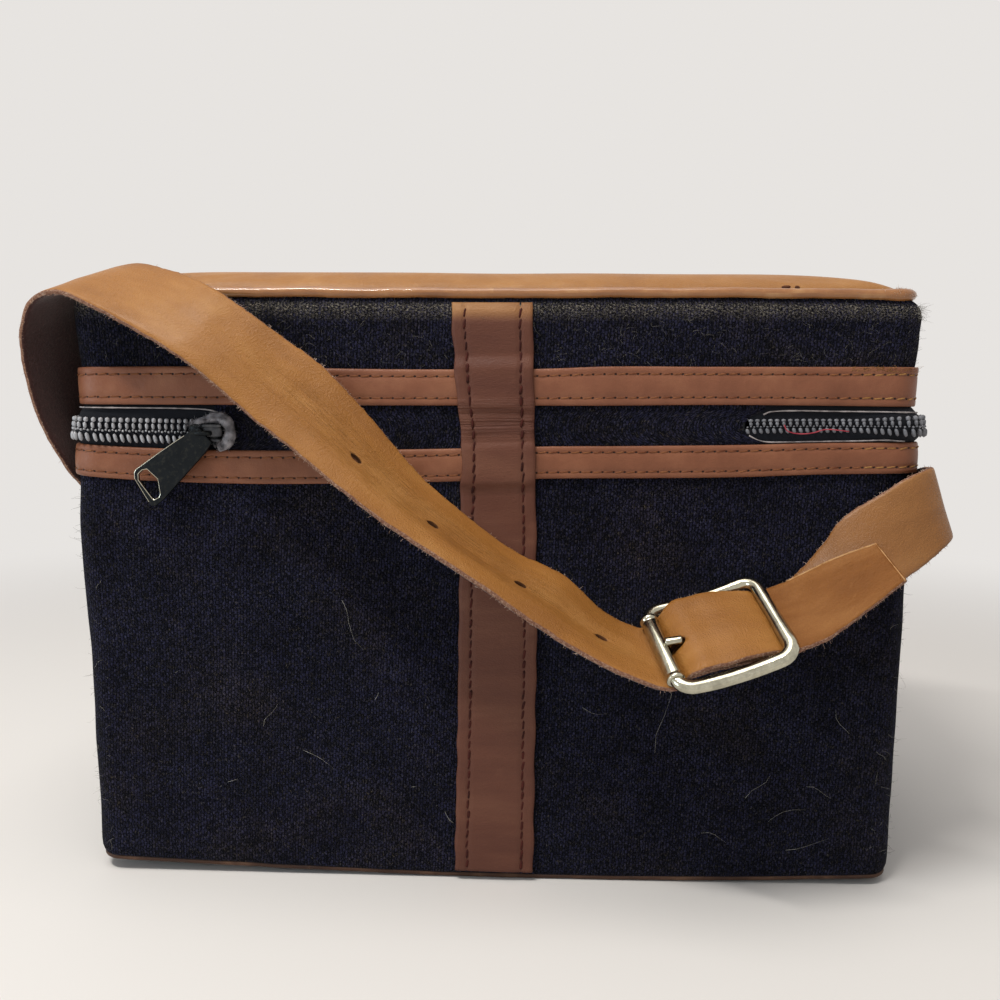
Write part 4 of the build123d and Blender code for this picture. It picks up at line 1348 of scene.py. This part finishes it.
def apply(obj, kind, **settings):
    """Applies a modifier to a piece for good."""
    modifier = obj.modifiers.new(kind.lower(), kind)
    for key, value in settings.items():
        setattr(modifier, key, value)
    bpy.context.view_layer.objects.active = obj
    bpy.ops.object.modifier_apply(modifier=modifier.name)


def split_at_fold(obj, upper_name):
    """Splits a mesh at the loop's fold plane into two that shade as one, and returns the upper one."""
    at, up = Vector(FOLD_AT * MM), Vector(FOLD_UP)
    mesh = bmesh.new()
    mesh.from_mesh(obj.data)
    geometry = mesh.verts[:] + mesh.edges[:] + mesh.faces[:]
    bmesh.ops.bisect_plane(mesh, geom=geometry, dist=1e-7, plane_co=at, plane_no=up)
    mesh.to_mesh(obj.data)
    mesh.free()
    normals = {tuple(np.round(v.co, 6)): tuple(v.normal) for v in obj.data.vertices}
    upper = obj.copy()
    upper.data = obj.data.copy()
    upper.name = upper_name
    bpy.context.scene.collection.objects.link(upper)
    for piece, keep_above in ((obj, False), (upper, True)):
        part = bmesh.new()
        part.from_mesh(piece.data)
        gone = [f for f in part.faces if ((f.calc_center_median() - at).dot(up) > 0) != keep_above]
        bmesh.ops.delete(part, geom=gone, context="FACES")
        part.to_mesh(piece.data)
        part.free()
        kept = [normals.get(tuple(np.round(v.co, 6)), tuple(v.normal)) for v in piece.data.vertices]
        piece.data.normals_split_custom_set_from_vertices(kept)
    return upper


def strap_fibres(name, strap, per_mm, seed):
    """Short pale fibres along a strap's cut edges."""
    draw = np.random.default_rng(seed)
    total = strap.way[-1]
    count = int(total * per_mm)
    roots = []
    ends = []
    for edge, sign in ((0.0, -1), (1.0, 1)):
        way = draw.uniform(1, total - 1, count)
        out = draw.uniform(-0.9, 0.7, count)
        root = strap.point(way, edge, out)
        away = unit(strap.at(strap.across, way)) * sign
        reach = np.abs(draw.normal(0, 0.5, count)) + 0.12
        sway = draw.normal(0, 0.5, (count, 3))
        roots.append(root - away * 0.1)
        ends.append(root + unit(away + sway) * reach[:, None])
    return hairs(name, np.concatenate(roots), np.concatenate(ends), 0.08, 0.07, "hide_fibre", seed)


# The punched holes, as places between the long strap's pairs, and their length and width
HOLE_STATIONS = [16.86, 18.67, 20.37, 22.3]
HOLE_SIZE = (4.2, 1.7)
# The hole that the stud goes through, from the buckle's middle
STUD_HOLE_AT = (-13.2, -0.8, 0.6)
STUD_HOLE_SIZE = (5.8, 3.4)
# Depth of the lengthwise crease at pairs of the long strap
CREASE = [(0, 0), (11, 0), (14, 0.25), (16, 0.55), (18, 0.9), (20, 1.0), (22, 0.9), (23, 0.3), (25, 0.0),
          (-1, 0)]


def make_long_strap():
    """Long strap with its holes, and its loop over the corner split off as a piece of its own."""
    pairs = LONG_STRAP + buckle_pairs(LONG_PASS) + LONG_TIP
    at = Strap(pairs).stations
    strap = Strap(pairs, [(at[k], depth) for k, depth in CREASE])
    obj = strap.shape().build("strap_long_front", "strap", "suede", "edge", "strap_tip")
    weld(obj)
    # Grain faces past the buckle take the tip's paint, darker as painted shade.
    for face in obj.data.polygons:
        beyond = (np.array(face.center) / MM - BUCKLE_AT) @ BUCKLE_U > BUCKLE_W / 2
        if beyond and face.material_index == 0:
            face.material_index = 3
    make_tip_rim(strap)
    places = []
    for station in HOLE_STATIONS:
        i = int(station)
        way = at[i] + (at[i + 1] - at[i]) * (station - i)
        middle = strap.point(way, CREASE_SHARE, 0)[0]
        k = int(np.argmin(np.abs(strap.way - way)))
        places.append((middle, strap.along[k], unit(strap.across[k]), strap.normal[k], *HOLE_SIZE))
    places.append((buckle_point(*STUD_HOLE_AT), BUCKLE_U, BUCKLE_V, BUCKLE_N, *STUD_HOLE_SIZE))
    cut_holes(obj, places)
    loop = split_at_fold(obj, "strap_long_loop")
    fibres = strap_fibres("strap_long_fibres", strap, 2.4, 81)
    upper_fibres = split_at_fold(fibres, "strap_loop_fibres")
    settle(obj, "case", "leather_strap", "strap_long")
    settle(fibres, "case", "leather_strap")
    for piece in (loop, upper_fibres):
        settle(piece, "case", "leather_strap")
        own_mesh(piece)


def make_tip_rim(strap):
    """Pale skived edge of the long strap's tip."""
    end = strap.way[-1]
    upper = strap.point(np.linspace(end - 30, end - 0.4, 24), 0.985, 0.75)
    across = strap.point(np.full(10, end - 0.4), np.linspace(0.93, 0.0, 10), 0.75)
    path = np.concatenate([upper, across])
    shape = Shape()
    tube(shape, path, 0.30 + 0.07 * ripple(path, 4, 86), 8)
    rim = shape.build("strap_tip_rim", "tip_rim")
    settle(rim, "case", "leather_strap")


def make_short_strap():
    """Short strap from the buckle round the right corner to its rivet."""
    strap = Strap(buckle_pairs(SHORT_PASS) + SHORT_STRAP)
    # Its paint is darker than the long strap's: painted shade.
    obj = strap.shape().build("strap_short_leather", "short_strap", "suede", "edge")
    weld(obj)
    settle(obj, "case", "leather_strap", "strap_short")
    settle(strap_fibres("strap_short_fibres", strap, 1.6, 83), "case", "leather_strap")


# Buckle, rivets and zip metal


def rounded_rectangle(width, height, radius, step):
    """Outline points of a rounded rectangle about the origin."""
    points = []
    for cx, cy, start in ((1, -1, -90), (1, 1, 0), (-1, 1, 90), (-1, -1, 180)):
        for angle in np.radians(np.arange(start, start + 91, step)):
            points.append((cx * (width / 2 - radius) + radius * math.cos(angle),
                           cy * (height / 2 - radius) + radius * math.sin(angle)))
    return np.array(points)


def fill_corners(loop, size):
    """Adds even points on the long runs of a closed outline."""
    filled = []
    for a, b in zip(loop, np.roll(loop, -1, 0)):
        count = max(1, int(np.linalg.norm(b - a) / size))
        filled += [a + (b - a) * k / count for k in range(count)]
    return np.array(filled)


# The buckle's sleeve, as place along its bar and radius, from its middle to its end
SLEEVE = [(10.4, 2.52), (10.7, 2.46), (11.0, 2.62), (11.4, 2.86), (12.2, 2.86), (12.5, 2.7), (12.6, 2.2)]
# Its stud, as place along it and radius
STUD = [(0, 1.5), (0.6, 1.45), (2.2, 1.42), (4.2, 1.42), (5.0, 1.40), (5.3, 1.22), (5.45, 0.6)]


def make_buckle():
    """Nickel frame with a sleeve on its left bar and a short fixed stud."""
    u, v = fill_corners(rounded_rectangle(BUCKLE_W, BUCKLE_H, 4.6, 15), 1.6).T
    wire = buckle_point(u, v, -1.9 * (1 - (2 * u / BUCKLE_W) ** 2))
    lower = eased((2 - v) / 14) * eased((u + 16) / 10)
    wire_size = 2.05 + 0.35 * lower + 0.08 * ripple(wire, 18, 91)
    v, sleeve_size = np.array([(-at, size) for at, size in SLEEVE[::-1]] + SLEEVE).T
    sleeve = buckle_point(np.full(len(v), -BUCKLE_W / 2), v, np.zeros(len(v)))
    u, stud_size = np.array(STUD).T
    stud = buckle_point(-BUCKLE_W / 2 + 1.6 + u * 0.9, 0.8 - 0.28 * u, 1.9 + 0.12 * u)
    for name, node, path, size, sides, closed, flat in (
            ("buckle_wire", "buckle_frame", wire, wire_size, 20, True, 0.9),
            ("buckle_roller", "buckle_sleeve", sleeve, sleeve_size, 24, False, 1.0),
            ("buckle_prong", "buckle_stud", stud, stud_size, 16, False, 0.85)):
        shape = Shape()
        tube(shape, path, size, sides, closed, BUCKLE_N, flat)
        settle(shape.build(name, "nickel"), "case", "nickel", node)


def lathe(name, profile, at, axis, paint):
    """Turned piece from (distance along the axis, radius) points."""
    sides = 28
    axis = unit(np.asarray(axis, float))
    side = unit(np.cross(axis, [0.21, 0.33, 0.92]))
    other = np.cross(axis, side)
    angle = np.linspace(0, 2 * math.pi, sides, endpoint=False)
    ring = np.cos(angle)[:, None] * side + np.sin(angle)[:, None] * other
    points = np.stack([np.asarray(at) + axis * d + ring * r for d, r in profile])
    shape = Shape()
    shape.grid(points, np.arange(len(profile)), np.linspace(0, 20, sides + 1), wrap_v=True, caps=True)
    made = shape.build(name, paint)
    weld(made)
    return made


def make_rivets():
    """Domed rivet heads over the strap's ends."""
    dome = [(-2.6, 1.8), (0.0, 1.8), (0.0, 5.3), (0.35, 5.5), (0.8, 5.2), (1.2, 4.4), (1.55, 3.0), (1.7, 1.2),
            (1.72, 0.1)]
    low, high = extent("strap_rivets")
    for side, word in ((-1, "left"), (1, "right")):
        at = (side * (SIDE_X + 0.9), 0, (low[2] + high[2]) / 2)
        head = lathe(f"rivet_{word}", dome, at, (side, 0, 0), "nickel")
        settle(head, "case", "nickel", "strap_rivets")


# The pull's outline and window, as places along and across it from its root
PULL_OUTLINE = [(-0.9, -2.2), (7.9, -3.7), (14.6, -4.7), (21.3, -5.6), (23.4, -5.9), (24.6, -5.4),
                (25.8, -4.0), (27.0, 1.2), (28.0, 5.8), (26.6, 6.8), (23.4, 7.0), (19.1, 6.7), (11.2, 6.05),
                (3.3, 5.4), (-0.4, 4.6)]
PULL_WINDOW = [(21.9, -4.2), (23.7, -4.2), (25.0, -2.8), (25.5, 1.2), (25.9, 4.9), (24.1, 5.4), (23.1, 5.0),
               (20.3, 1.1), (20.6, -3.4)]
PULL_THICK = 1.3
PULL_LEAN = math.radians(43)


def pull_directions():
    """The pull's root, and its directions along and across it, as it hangs in the photograph."""
    along = np.array([-math.cos(PULL_LEAN), 0, -math.sin(PULL_LEAN)])
    across = np.array([math.sin(PULL_LEAN), 0, -math.cos(PULL_LEAN)])
    root = wall(SLIDER_X, 0.0, ZIP_Z)
    low, high = extent("zip_pull")
    root[1] = (low[1] + high[1]) / 2
    return root, along, across


def make_pull():
    """Flat zip pull, dark, with a window near its end; the pale rim on the edges that face the light is
    rubbed metal and painted highlight at once.
    """
    root, along, across = pull_directions()
    out = np.array([0.0, -1.0, 0.0])
    mesh = bmesh.new()
    edges = []
    for loop in (fill_corners(np.array(PULL_OUTLINE), 1.5), np.array(PULL_WINDOW)):
        ring = [mesh.verts.new((root + along * x + across * y) * MM) for x, y in loop]
        edges += [mesh.edges.new(pair) for pair in zip(ring, ring[1:] + ring[:1])]
    bmesh.ops.triangle_fill(mesh, edges=edges, use_beauty=True)
    for v in mesh.verts:
        x = float((np.array(v.co) / MM - root) @ along)
        bend = 0.5 * math.sin(min(1.0, max(x, 0.0) / 27.0) * math.pi)
        v.co += Vector(out * MM * (PULL_THICK / 2 + bend))
    solid = bmesh.ops.extrude_face_region(mesh, geom=mesh.faces[:])
    moved = [g for g in solid["geom"] if isinstance(g, bmesh.types.BMVert)]
    bmesh.ops.translate(mesh, verts=moved, vec=Vector(out) * -PULL_THICK * MM)
    bmesh.ops.recalc_face_normals(mesh, faces=mesh.faces)
    rim = [e for e in mesh.edges if len(e.link_faces) == 2 and e.calc_face_angle(0) > 0.7]
    bmesh.ops.bevel(mesh, geom=rim, offset=0.24 * MM, segments=2, affect="EDGES", profile=0.5, material=1)
    data = bpy.data.meshes.new("pull_tab")
    mesh.to_mesh(data)
    mesh.free()
    for paint in ("gunmetal", "rubbed"):
        data.materials.append(PAINTS[paint])
    window_centre = np.mean(PULL_WINDOW, 0)
    # The pale rim stays only on the edges that face the light, as a painted highlight; the lower edge, the
    # root end and faces turned from the camera go back to gunmetal.
    for face in data.polygons:
        away = np.array(face.center) / MM - root
        place = np.array([away @ along, away @ across])
        lower_edge = (place[1] > 3.4 and np.linalg.norm(place - window_centre) > 5.5) or place[0] < 5
        if lower_edge or (face.normal.y > -0.1 and face.material_index == 1):
            face.material_index = 0
    settle(new_object("pull_tab", data), "zip_pull", "zip_metal", "zip_pull")
    shape = Shape()
    tube(shape, [root + across * k for k in np.linspace(-2.2, 4.6, 7)], 0.75, 14, hint=out)
    settle(shape.build("pull_bar", "gunmetal"), "zip_pull", "zip_metal")


# Blocks of the slider: place along the zip, out of the wall and up from the slider's middle, then half sizes
SLIDER_PLATES = [(0.2, 0.4, 0, 5.2, 0.6, 4.0), (0.6, 2.5, 0, 4.6, 0.6, 3.1), (3.6, 1.5, 0, 0.9, 1.5, 2.6)]
SLIDER_DUSTY = [(3.4, 3.4, 0.4, 2.9, 0.6, 1.5), (3.2, 3.5, 2.3, 2.9, 0.45, 0.45),
                (3.3, 3.5, -2.3, 2.6, 0.45, 0.4)]
BRIDGE_WAY = [(-3.0, 2.6, 0), (-2.6, 3.8, 0), (-1.0, 4.9, 0), (1.4, 4.9, 0), (2.8, 4.0, 0), (3.2, 2.8, 0)]
# The end stops: places across and half sizes
STOPS_X = (-84.0, 78.5)
STOP_SIZE = (0.9, 0.6, 2.6)


def make_slider():
    """Zip slider under its coat of dust, with the bridge that holds the pull, and the zip's end stops."""
    middle = wall(SLIDER_X, 0.0, ZIP_Z)
    shape = Shape()
    for blocks, number in ((SLIDER_PLATES, 0), (SLIDER_DUSTY, 1)):
        for x, out, z, *sizes in blocks:
            shape.copies(block(), (middle + np.array([x, -out, z]))[None], np.diag(sizes)[None], number)
    settle(shape.build("slider_body", "gunmetal", "dusty_metal"), "zip_slider", "zip_metal", "zip_slider")
    shape = Shape()
    tube(shape, middle + np.array(BRIDGE_WAY) * [1, -1, 1], 0.62, 14, flat=1.3)
    settle(shape.build("slider_bridge", "gunmetal"), "zip_slider", "zip_metal", "zip_bridge")
    shape = Shape()
    for x in STOPS_X:
        shape.copies(block(), wall(x, -0.4, ZIP_Z)[None], np.diag(STOP_SIZE)[None])
    settle(shape.build("zip_end_stops", "gunmetal"), "case", "zip_metal", "zip_stops")


def dress_washers():
    """Material of the washers inside, which stay as they are."""
    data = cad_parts["rivet_washers"].data
    data.materials.clear()
    data.materials.append(PAINTS["nickel"])


# Inside


LINING_INSET = 3.5


def make_lining(name, node, body, rim, floor_z, up):
    """Napped cloth lining: walls turned over the rim, and a soft floor."""
    s = around(4.0)
    ring = s[:-1]
    inset = LINING_INSET
    sign = 1 if up else -1
    rows = [(inset - 0.9, rim - sign * 3.0), (inset - 0.6, rim - sign * 0.2), (inset, rim + sign * 0.15),
            (inset + 0.9, rim - sign * 0.2)]
    low, high = sorted((rim - sign * 3, floor_z + sign * 4))
    rows += [(inset + 1.2, z) for z in steps(low, high, 8.0)[::-sign]]
    rows += [(inset + 1.9, floor_z + sign * 1.6), (inset + 3.6, floor_z + sign * 0.3)]
    at = np.stack([inset_loop(ring, deep, deep, max(CORNER_R - deep, 2.5), z) for deep, z in rows], 1)
    at += (ripple(at, 23, 95) * 0.25)[..., None] * np.array([0, 0, 0.3])
    shape = Shape()
    height = np.cumsum([0] + [math.hypot(a[0] - b[0], a[1] - b[1]) for a, b in zip(rows, rows[1:])])
    shape.grid(at, s, height, wrap_u=True)
    inner = at[:, -1]
    middle = inner * 0.55
    middle[:, 2] = floor_z
    shape.grid(np.stack([inner, middle], 1), s, [0, 40], wrap_u=True)
    places = [(a, b, (0, 0)) for a, b in zip(middle[:, :2], np.roll(middle[:, :2], -1, 0))]
    shape.close(middle, [0, 0, floor_z], places=places)
    lining = shape.build(name, "lining")
    weld(lining)
    apply(lining, "SOLIDIFY", thickness=0.5 * MM, offset=float(sign))
    settle(lining, body, "lining", node)


def make_floor_pad():
    """Foam pad under the lining's floor."""
    low, high = extent("base_pad")
    size = high - low
    cols, rows = 41, 21
    x = np.linspace(-1, 1, cols)
    y = np.linspace(-1, 1, rows)
    gx, gy = np.meshgrid(x, y, indexing="ij")
    crown = (1 - np.abs(gx) ** 6) * (1 - np.abs(gy) ** 6)
    top = np.stack([gx * size[0] / 2, gy * size[1] / 2, low[2] + 1.6 + (size[2] - 1.8) * crown], -1)
    bottom = np.stack([gx * size[0] / 2, gy * size[1] / 2, np.full_like(gx, low[2] + 0.1)], -1)
    shape = Shape()
    shape.grid(top, x * 100, y * 50)
    shape.grid(bottom[:, ::-1], x * 100, y * 50)
    edge = [(i, 0) for i in range(cols)] + [(cols - 1, j) for j in range(1, rows)]
    edge += [(i, rows - 1) for i in range(cols - 2, -1, -1)] + [(0, j) for j in range(rows - 2, 0, -1)]
    ring = np.array([[top[i, j], bottom[i, j]] for i, j in edge])
    shape.grid(ring[:, ::-1], np.arange(len(edge) + 1.0), [0, 1], wrap_u=True)
    pad = shape.build("floor_pad", "lining")
    weld(pad)
    settle(pad, "case", "foam", "base_pad")


# Fuzz, lint and stray hairs


def make_fuzz(name, body, z_low, z_high, count, seed):
    """Short wool fibres that stand out of the cloth."""
    draw = np.random.default_rng(seed)
    s = draw.uniform(-LOOP / 2, LOOP / 2, count)
    z = draw.uniform(z_low, z_high, count)
    side = np.abs(from_middle(s)) - CORNER_START
    corner = (side > -3) & (side < ARC + 12)
    at, _, out, _ = wall_frame(s, -0.1, z)
    reach = np.abs(draw.normal(0, 0.9, count)) + 0.35
    reach = np.where(corner, reach * 1.5, reach * 0.6)
    lie = draw.normal(0, 1.0, (count, 3))
    ends = at + unit(out * 0.9 + lie * 0.7) * reach[:, None] + out * 0.12
    settle(hairs(name, at, ends, 0.22, 0.05, "fuzz", seed), body, "tweed")


# Long hairs on the hinge face: place across and height of the root, then of the end
LONG_HAIRS = [
    (-48.5, 96, -41.5, 79), (57.5, 70, 54, 45), (-26, 32, -18, 33), (-62, 44, -52, 38), (-75, 52, -70, 60),
    (92, 22, 104, 26), (98, 12, 112, 16), (84, 30, 92, 38), (-90, 30, -84, 33), (-38, 62, -36, 70),
    (30, 60, 38, 58), (104, 34, 112, 30), (-12, 20, -18, 26), (70, 18, 78, 15), (-104, 70, -99, 74),
    (112, 60, 117, 52),
]


def make_stray_hairs():
    """Long pale hairs on the hinge face, finer ones over the lid's cloth, at the corners and in a tuft."""
    s0, z0, s1, z1 = np.array(LONG_HAIRS).T
    roots = wall(s0, 0.15, z0)
    ends = wall(s1, 0.25, z1)
    length = np.linalg.norm(ends - roots, axis=1)
    settle(hairs("stray_hairs", roots, ends, length * 0.05 + 0.15, 0.075, "pale_hair", 101), "case", "tweed")
    draw = np.random.default_rng(103)
    count = 320
    s = draw.uniform(-126, 134, count)
    z = draw.uniform(UPPER_BAND_HIGH[2] + 1, LID_EDGE - 1, count)
    at, along, out, up = wall_frame(s, 0.1, z)
    turn = draw.uniform(0, 2 * math.pi, (count, 1))
    reach = draw.uniform(1.0, 4.6, count)
    ends = at + (along * np.cos(turn) + up * np.sin(turn)) * reach[:, None] + out * 0.4
    settle(hairs("stray_hairs_lid", at, ends, reach * 0.16, 0.042, "dim_hair", 104), "lid", "tweed")
    s = np.concatenate([draw.uniform(-135, -125, 34), draw.uniform(125, 135, 50)])
    at, along, out, _ = wall_frame(s, -0.1, draw.uniform(8, 132, len(s)))
    reach = draw.uniform(1.2, 5.0, len(s))
    away = unit(out * 0.6 + along * np.sign(s)[:, None] * 0.3 + draw.normal(0, 0.6, (len(s), 3)))
    ends = at + away * reach[:, None]
    settle(hairs("stray_hairs_edge", at, ends, reach * 0.1, 0.045, "pale_hair", 105), "case", "tweed")
    s = draw.normal(CORNER_START + 6, 1.6, 46)
    at, along, out, _ = wall_frame(s, -0.1, LID_EDGE - draw.uniform(0.5, 5.0, len(s)))
    away = unit(out + along * 0.5 + draw.normal(0, 0.5, (len(s), 3)))
    ends = at + away * draw.uniform(1.0, 4.2, (len(s), 1))
    settle(hairs("stray_hairs_tuft", at, ends, 0.25, 0.045, "pale_hair", 106), "lid", "tweed")


# Cut edges of the cloth along the zip slots and a loose thread in the right slot: place across and height
SLOT_WAYS = [
    [(-87.6, 156.2), (-90.5, 156.8), (-94, 157.1), (-104, 157.3), (-118, 157.3), (-134.5, 157.3)],
    [(85.2, 155.2), (88, 156.2), (95, 156.5), (108, 156.4), (122, 156.4), (135.5, 156.2)],
    [(80.6, 148.4), (83.4, 146.9), (87, 146.1), (97, 145.9), (112, 146.0), (122, 146.3), (128, 145.9)],
]
THREAD_WAY = [(91.2, 151.8), (92.4, 149.6), (96.2, 148.7), (100.0, 149.0), (103.8, 150.1), (107.5, 149.9),
              (111.1, 149.4)]


def make_slot_edges():
    """Pale cut edges of the cloth along the two zip slots, and a loose thread in the right one."""
    shape = Shape()
    for way in SLOT_WAYS:
        x, z = through(way, 40)
        path = wall(x, 0.25 + 0.42 * (zip_out(x) - 0.1), z)
        tube(shape, path, 0.24 + 0.05 * ripple(path, 3, 111), 6)
    settle(shape.build("slot_edges", "cut_cloth"), "case", "tweed")
    x, z = through(THREAD_WAY, 50)
    shape = Shape()
    tube(shape, wall(x, 1.5, z), 0.19, 6)
    settle(shape.build("loose_thread", "red_thread"), "case", "zip_tape")


# The lint's way round the slider: place along the zip, height over its middle, radius
LINT_WAY = [(-4.1, 3.0, 1.0), (-1.3, 3.2, 1.15), (1.2, 4.1, 1.3), (3.5, 4.9, 1.6), (5.9, 5.1, 1.75),
            (8.0, 4.2, 1.8), (9.3, 2.1, 1.75), (9.5, -0.3, 1.7), (8.8, -2.5, 1.75), (7.2, -4.1, 1.8),
            (5.4, -4.7, 1.45)]


def make_lint():
    """Grey felted lint hooked round the zip slider, and the fibres that stand out of it."""
    x, z, radius = through(LINT_WAY, 60)
    centre = wall(SLIDER_X, 0.0, ZIP_Z)
    path = centre + np.stack([x * 0.94 - 0.4, np.full_like(x, -1.9), z * 0.96], -1)
    shape = Shape()
    tube(shape, path, radius + 0.22 * ripple(path, 2.5, 121), 14, hint=(0, 1, 0), flat=0.8)
    settle(shape.build("slider_lint", "lint"), "zip_slider", "zip_metal")
    draw = np.random.default_rng(123)
    count = 1100
    pick = draw.integers(0, len(path), count)
    away = unit(draw.normal(size=(count, 3)) * np.array([1, 0.8, 1]) - np.array([0, 0.5, 0]))
    root = path[pick] + away * radius[pick, None] * 0.85
    ends = root + (away + draw.normal(0, 0.7, (count, 3))) * draw.uniform(0.2, 0.75, count)[:, None]
    settle(hairs("slider_lint_fibres", root, ends, 0.16, 0.06, "lint", 124), "zip_slider", "zip_metal")


# Camera, light and floor

FOCAL_PX = 979.62
IMAGE_PX = 1000
CAMERA_AT = (10.78, -371.0, 163.74)
PITCH = 0.1149
YAW = -0.0264
ROLL = 0.0078


def make_camera():
    """Camera at the photograph's place and angle."""
    forward = np.array([math.sin(YAW) * math.cos(PITCH), math.cos(YAW) * math.cos(PITCH), -math.sin(PITCH)])
    right = np.array([math.cos(YAW), -math.sin(YAW), 0.0])
    up = np.cross(right, forward)
    right_rolled = math.cos(ROLL) * right + math.sin(ROLL) * up
    up_rolled = -math.sin(ROLL) * right + math.cos(ROLL) * up
    data = bpy.data.cameras.new("camera")
    data.sensor_width = 36
    data.lens = FOCAL_PX / IMAGE_PX * data.sensor_width
    camera = new_object("camera", data)
    turn = Matrix(np.stack([right_rolled, up_rolled, -forward], 1).tolist())
    camera.matrix_world = Matrix.Translation(Vector(CAMERA_AT) * MM) @ turn.to_4x4()
    bpy.context.scene.camera = camera


BACKDROP = (0.80, 0.775, 0.75)
# Lamps: name, place and the point that each looks at, in metres, its width and height, watts and colour
LAMPS = [
    ("light_above", (-0.10, -0.30, 1.25), (0, -0.02, 0.1), (0.7, 0.7), 5.7, (1.0, 0.955, 0.89)),
    ("light_left", (-1.10, -0.66, 0.25), (0, 0, 0.1), (0.4, 0.5), 3.8, (0.70, 0.88, 1.0)),
    ("light_front", (0.35, -1.5, 0.55), (0, 0, 0.1), (1.2, 1.2), 0.3, (1.0, 0.97, 0.93)),
    ("light_glint", (-0.31, -0.42, 0.95), (-0.05, -0.05, 0.15), (0.36, 0.05), 5.2, (1.0, 0.96, 0.9)),
]


def seen_directly(tree):
    """1 for what the camera sees, also in metal and through glass."""
    paths = tree.nodes.new("ShaderNodeLightPath")
    total = paths.outputs["Is Camera Ray"]
    for name in ("Is Glossy Ray", "Is Transmission Ray"):
        step = tree.nodes.new("ShaderNodeMath")
        step.operation = "MAXIMUM"
        tree.links.new(total, step.inputs[0])
        tree.links.new(paths.outputs[name], step.inputs[1])
        total = step.outputs[0]
    return total


def make_light():
    """Soft light from above and in front, a cool one from the left, a thin glint, and a pale surround."""
    for name, at, look_at, size, watts, colour in LAMPS:
        data = bpy.data.lights.new(name, "AREA")
        data.shape = "RECTANGLE"
        data.size, data.size_y = size
        data.energy = watts
        data.color = colour
        lamp = new_object(name, data)
        lamp.location = at
        lamp.rotation_euler = (Vector(look_at) - Vector(at)).to_track_quat("-Z", "Y").to_euler()
    world = bpy.data.worlds.new("surround")
    bpy.context.scene.world = world
    world.use_nodes = True
    tree = world.node_tree
    tree.nodes.clear()
    output = tree.nodes.new("ShaderNodeOutputWorld")
    mix = tree.nodes.new("ShaderNodeMixShader")
    tree.links.new(seen_directly(tree), mix.inputs["Fac"])
    for socket, colour, strength in ((1, (1.0, 0.975, 0.95), 0.32), (2, BACKDROP, 1.0)):
        surround = tree.nodes.new("ShaderNodeBackground")
        surround.inputs["Color"].default_value = (*colour, 1)
        surround.inputs["Strength"].default_value = strength
        tree.links.new(surround.outputs[0], mix.inputs[socket])
    tree.links.new(mix.outputs[0], output.inputs["Surface"])


def make_floor():
    """Plain pale floor that takes the object's shadow and fades into the backdrop's colour."""
    size = 3.0
    mesh = bpy.data.meshes.new("floor")
    corners = [(-size, -size, 0), (size, -size, 0), (size, size, 0), (-size, size, 0)]
    mesh.from_pydata(corners, [], [(0, 1, 2, 3)])
    p = Paint("floor_paint", Roughness=0.7, Specular_IOR_Level=0.2, Base_Color=(0.82, 0.80, 0.785, 1))
    away = p.node("VectorMath", operation="LENGTH")
    coordinates = p.node("TexCoord")
    p.link(coordinates.outputs["Object"], away.inputs[0])
    far = p.carry(away.outputs["Value"], 0.28, 0.75, kind="SMOOTHSTEP")
    glow = p.node("Emission", Color=(*BACKDROP, 1))
    blend = p.node("MixShader")
    p.link(p.times(far, seen_directly(p.tree)), blend.inputs[0])
    p.link(p.shader.outputs[0], blend.inputs[1])
    p.link(glow.outputs[0], blend.inputs[2])
    p.link(blend.outputs[0], p.tree.nodes["Material Output"].inputs["Surface"])
    mesh.materials.append(p.material)
    new_object("floor", mesh)


def main():
    make_camera()
    make_light()
    make_floor()
    make_body_cloth()
    make_lid_cloth()
    make_band("lower_band", "lower_trim_band", "case", LOWER_BAND_LOW[2], BAND_H, BAND_ROWS, "band", 11)
    make_band("upper_band", "upper_trim_band", "lid", UPPER_BAND_LOW[2], UPPER_BAND_H, UPPER_BAND_ROWS,
              "upper_band", 15)
    make_frays()
    make_hinge_strip()
    make_hinge_cloth()
    make_zip()
    make_pipings()
    make_top_cushion()
    make_base()
    make_long_strap()
    make_short_strap()
    make_buckle()
    make_rivets()
    make_slider()
    make_pull()
    dress_washers()
    make_board("body_board", "body_shell", "case", GAP_FOOT - 0.4, WALL_FOOT + 0.2, 1.0)
    make_board("lid_board", "lid_shell", "lid", GAP_HEAD + 0.3, LID_EDGE, 5.0)
    body_floor = extent("body_lining")[0][2] + 1.2
    lid_floor = extent("lid_lining")[1][2] - 1.2
    make_lining("body_lining_cloth", "body_lining", "case", GAP_FOOT - 0.3, body_floor, True)
    make_lining("lid_lining_cloth", "lid_lining", "lid", GAP_HEAD + 0.3, lid_floor, False)
    make_floor_pad()
    make_fuzz("body_fuzz", "case", WALL_FOOT + 2, LOWER_BAND_LOW[2] - 1, 5200, 131)
    make_fuzz("lid_fuzz", "lid", UPPER_BAND_HIGH[2] + 1, LID_EDGE - 2, 1900, 133)
    make_stray_hairs()
    make_slot_edges()
    make_lint()


main()
bpy.context.scene.view_settings.view_transform = "Standard"
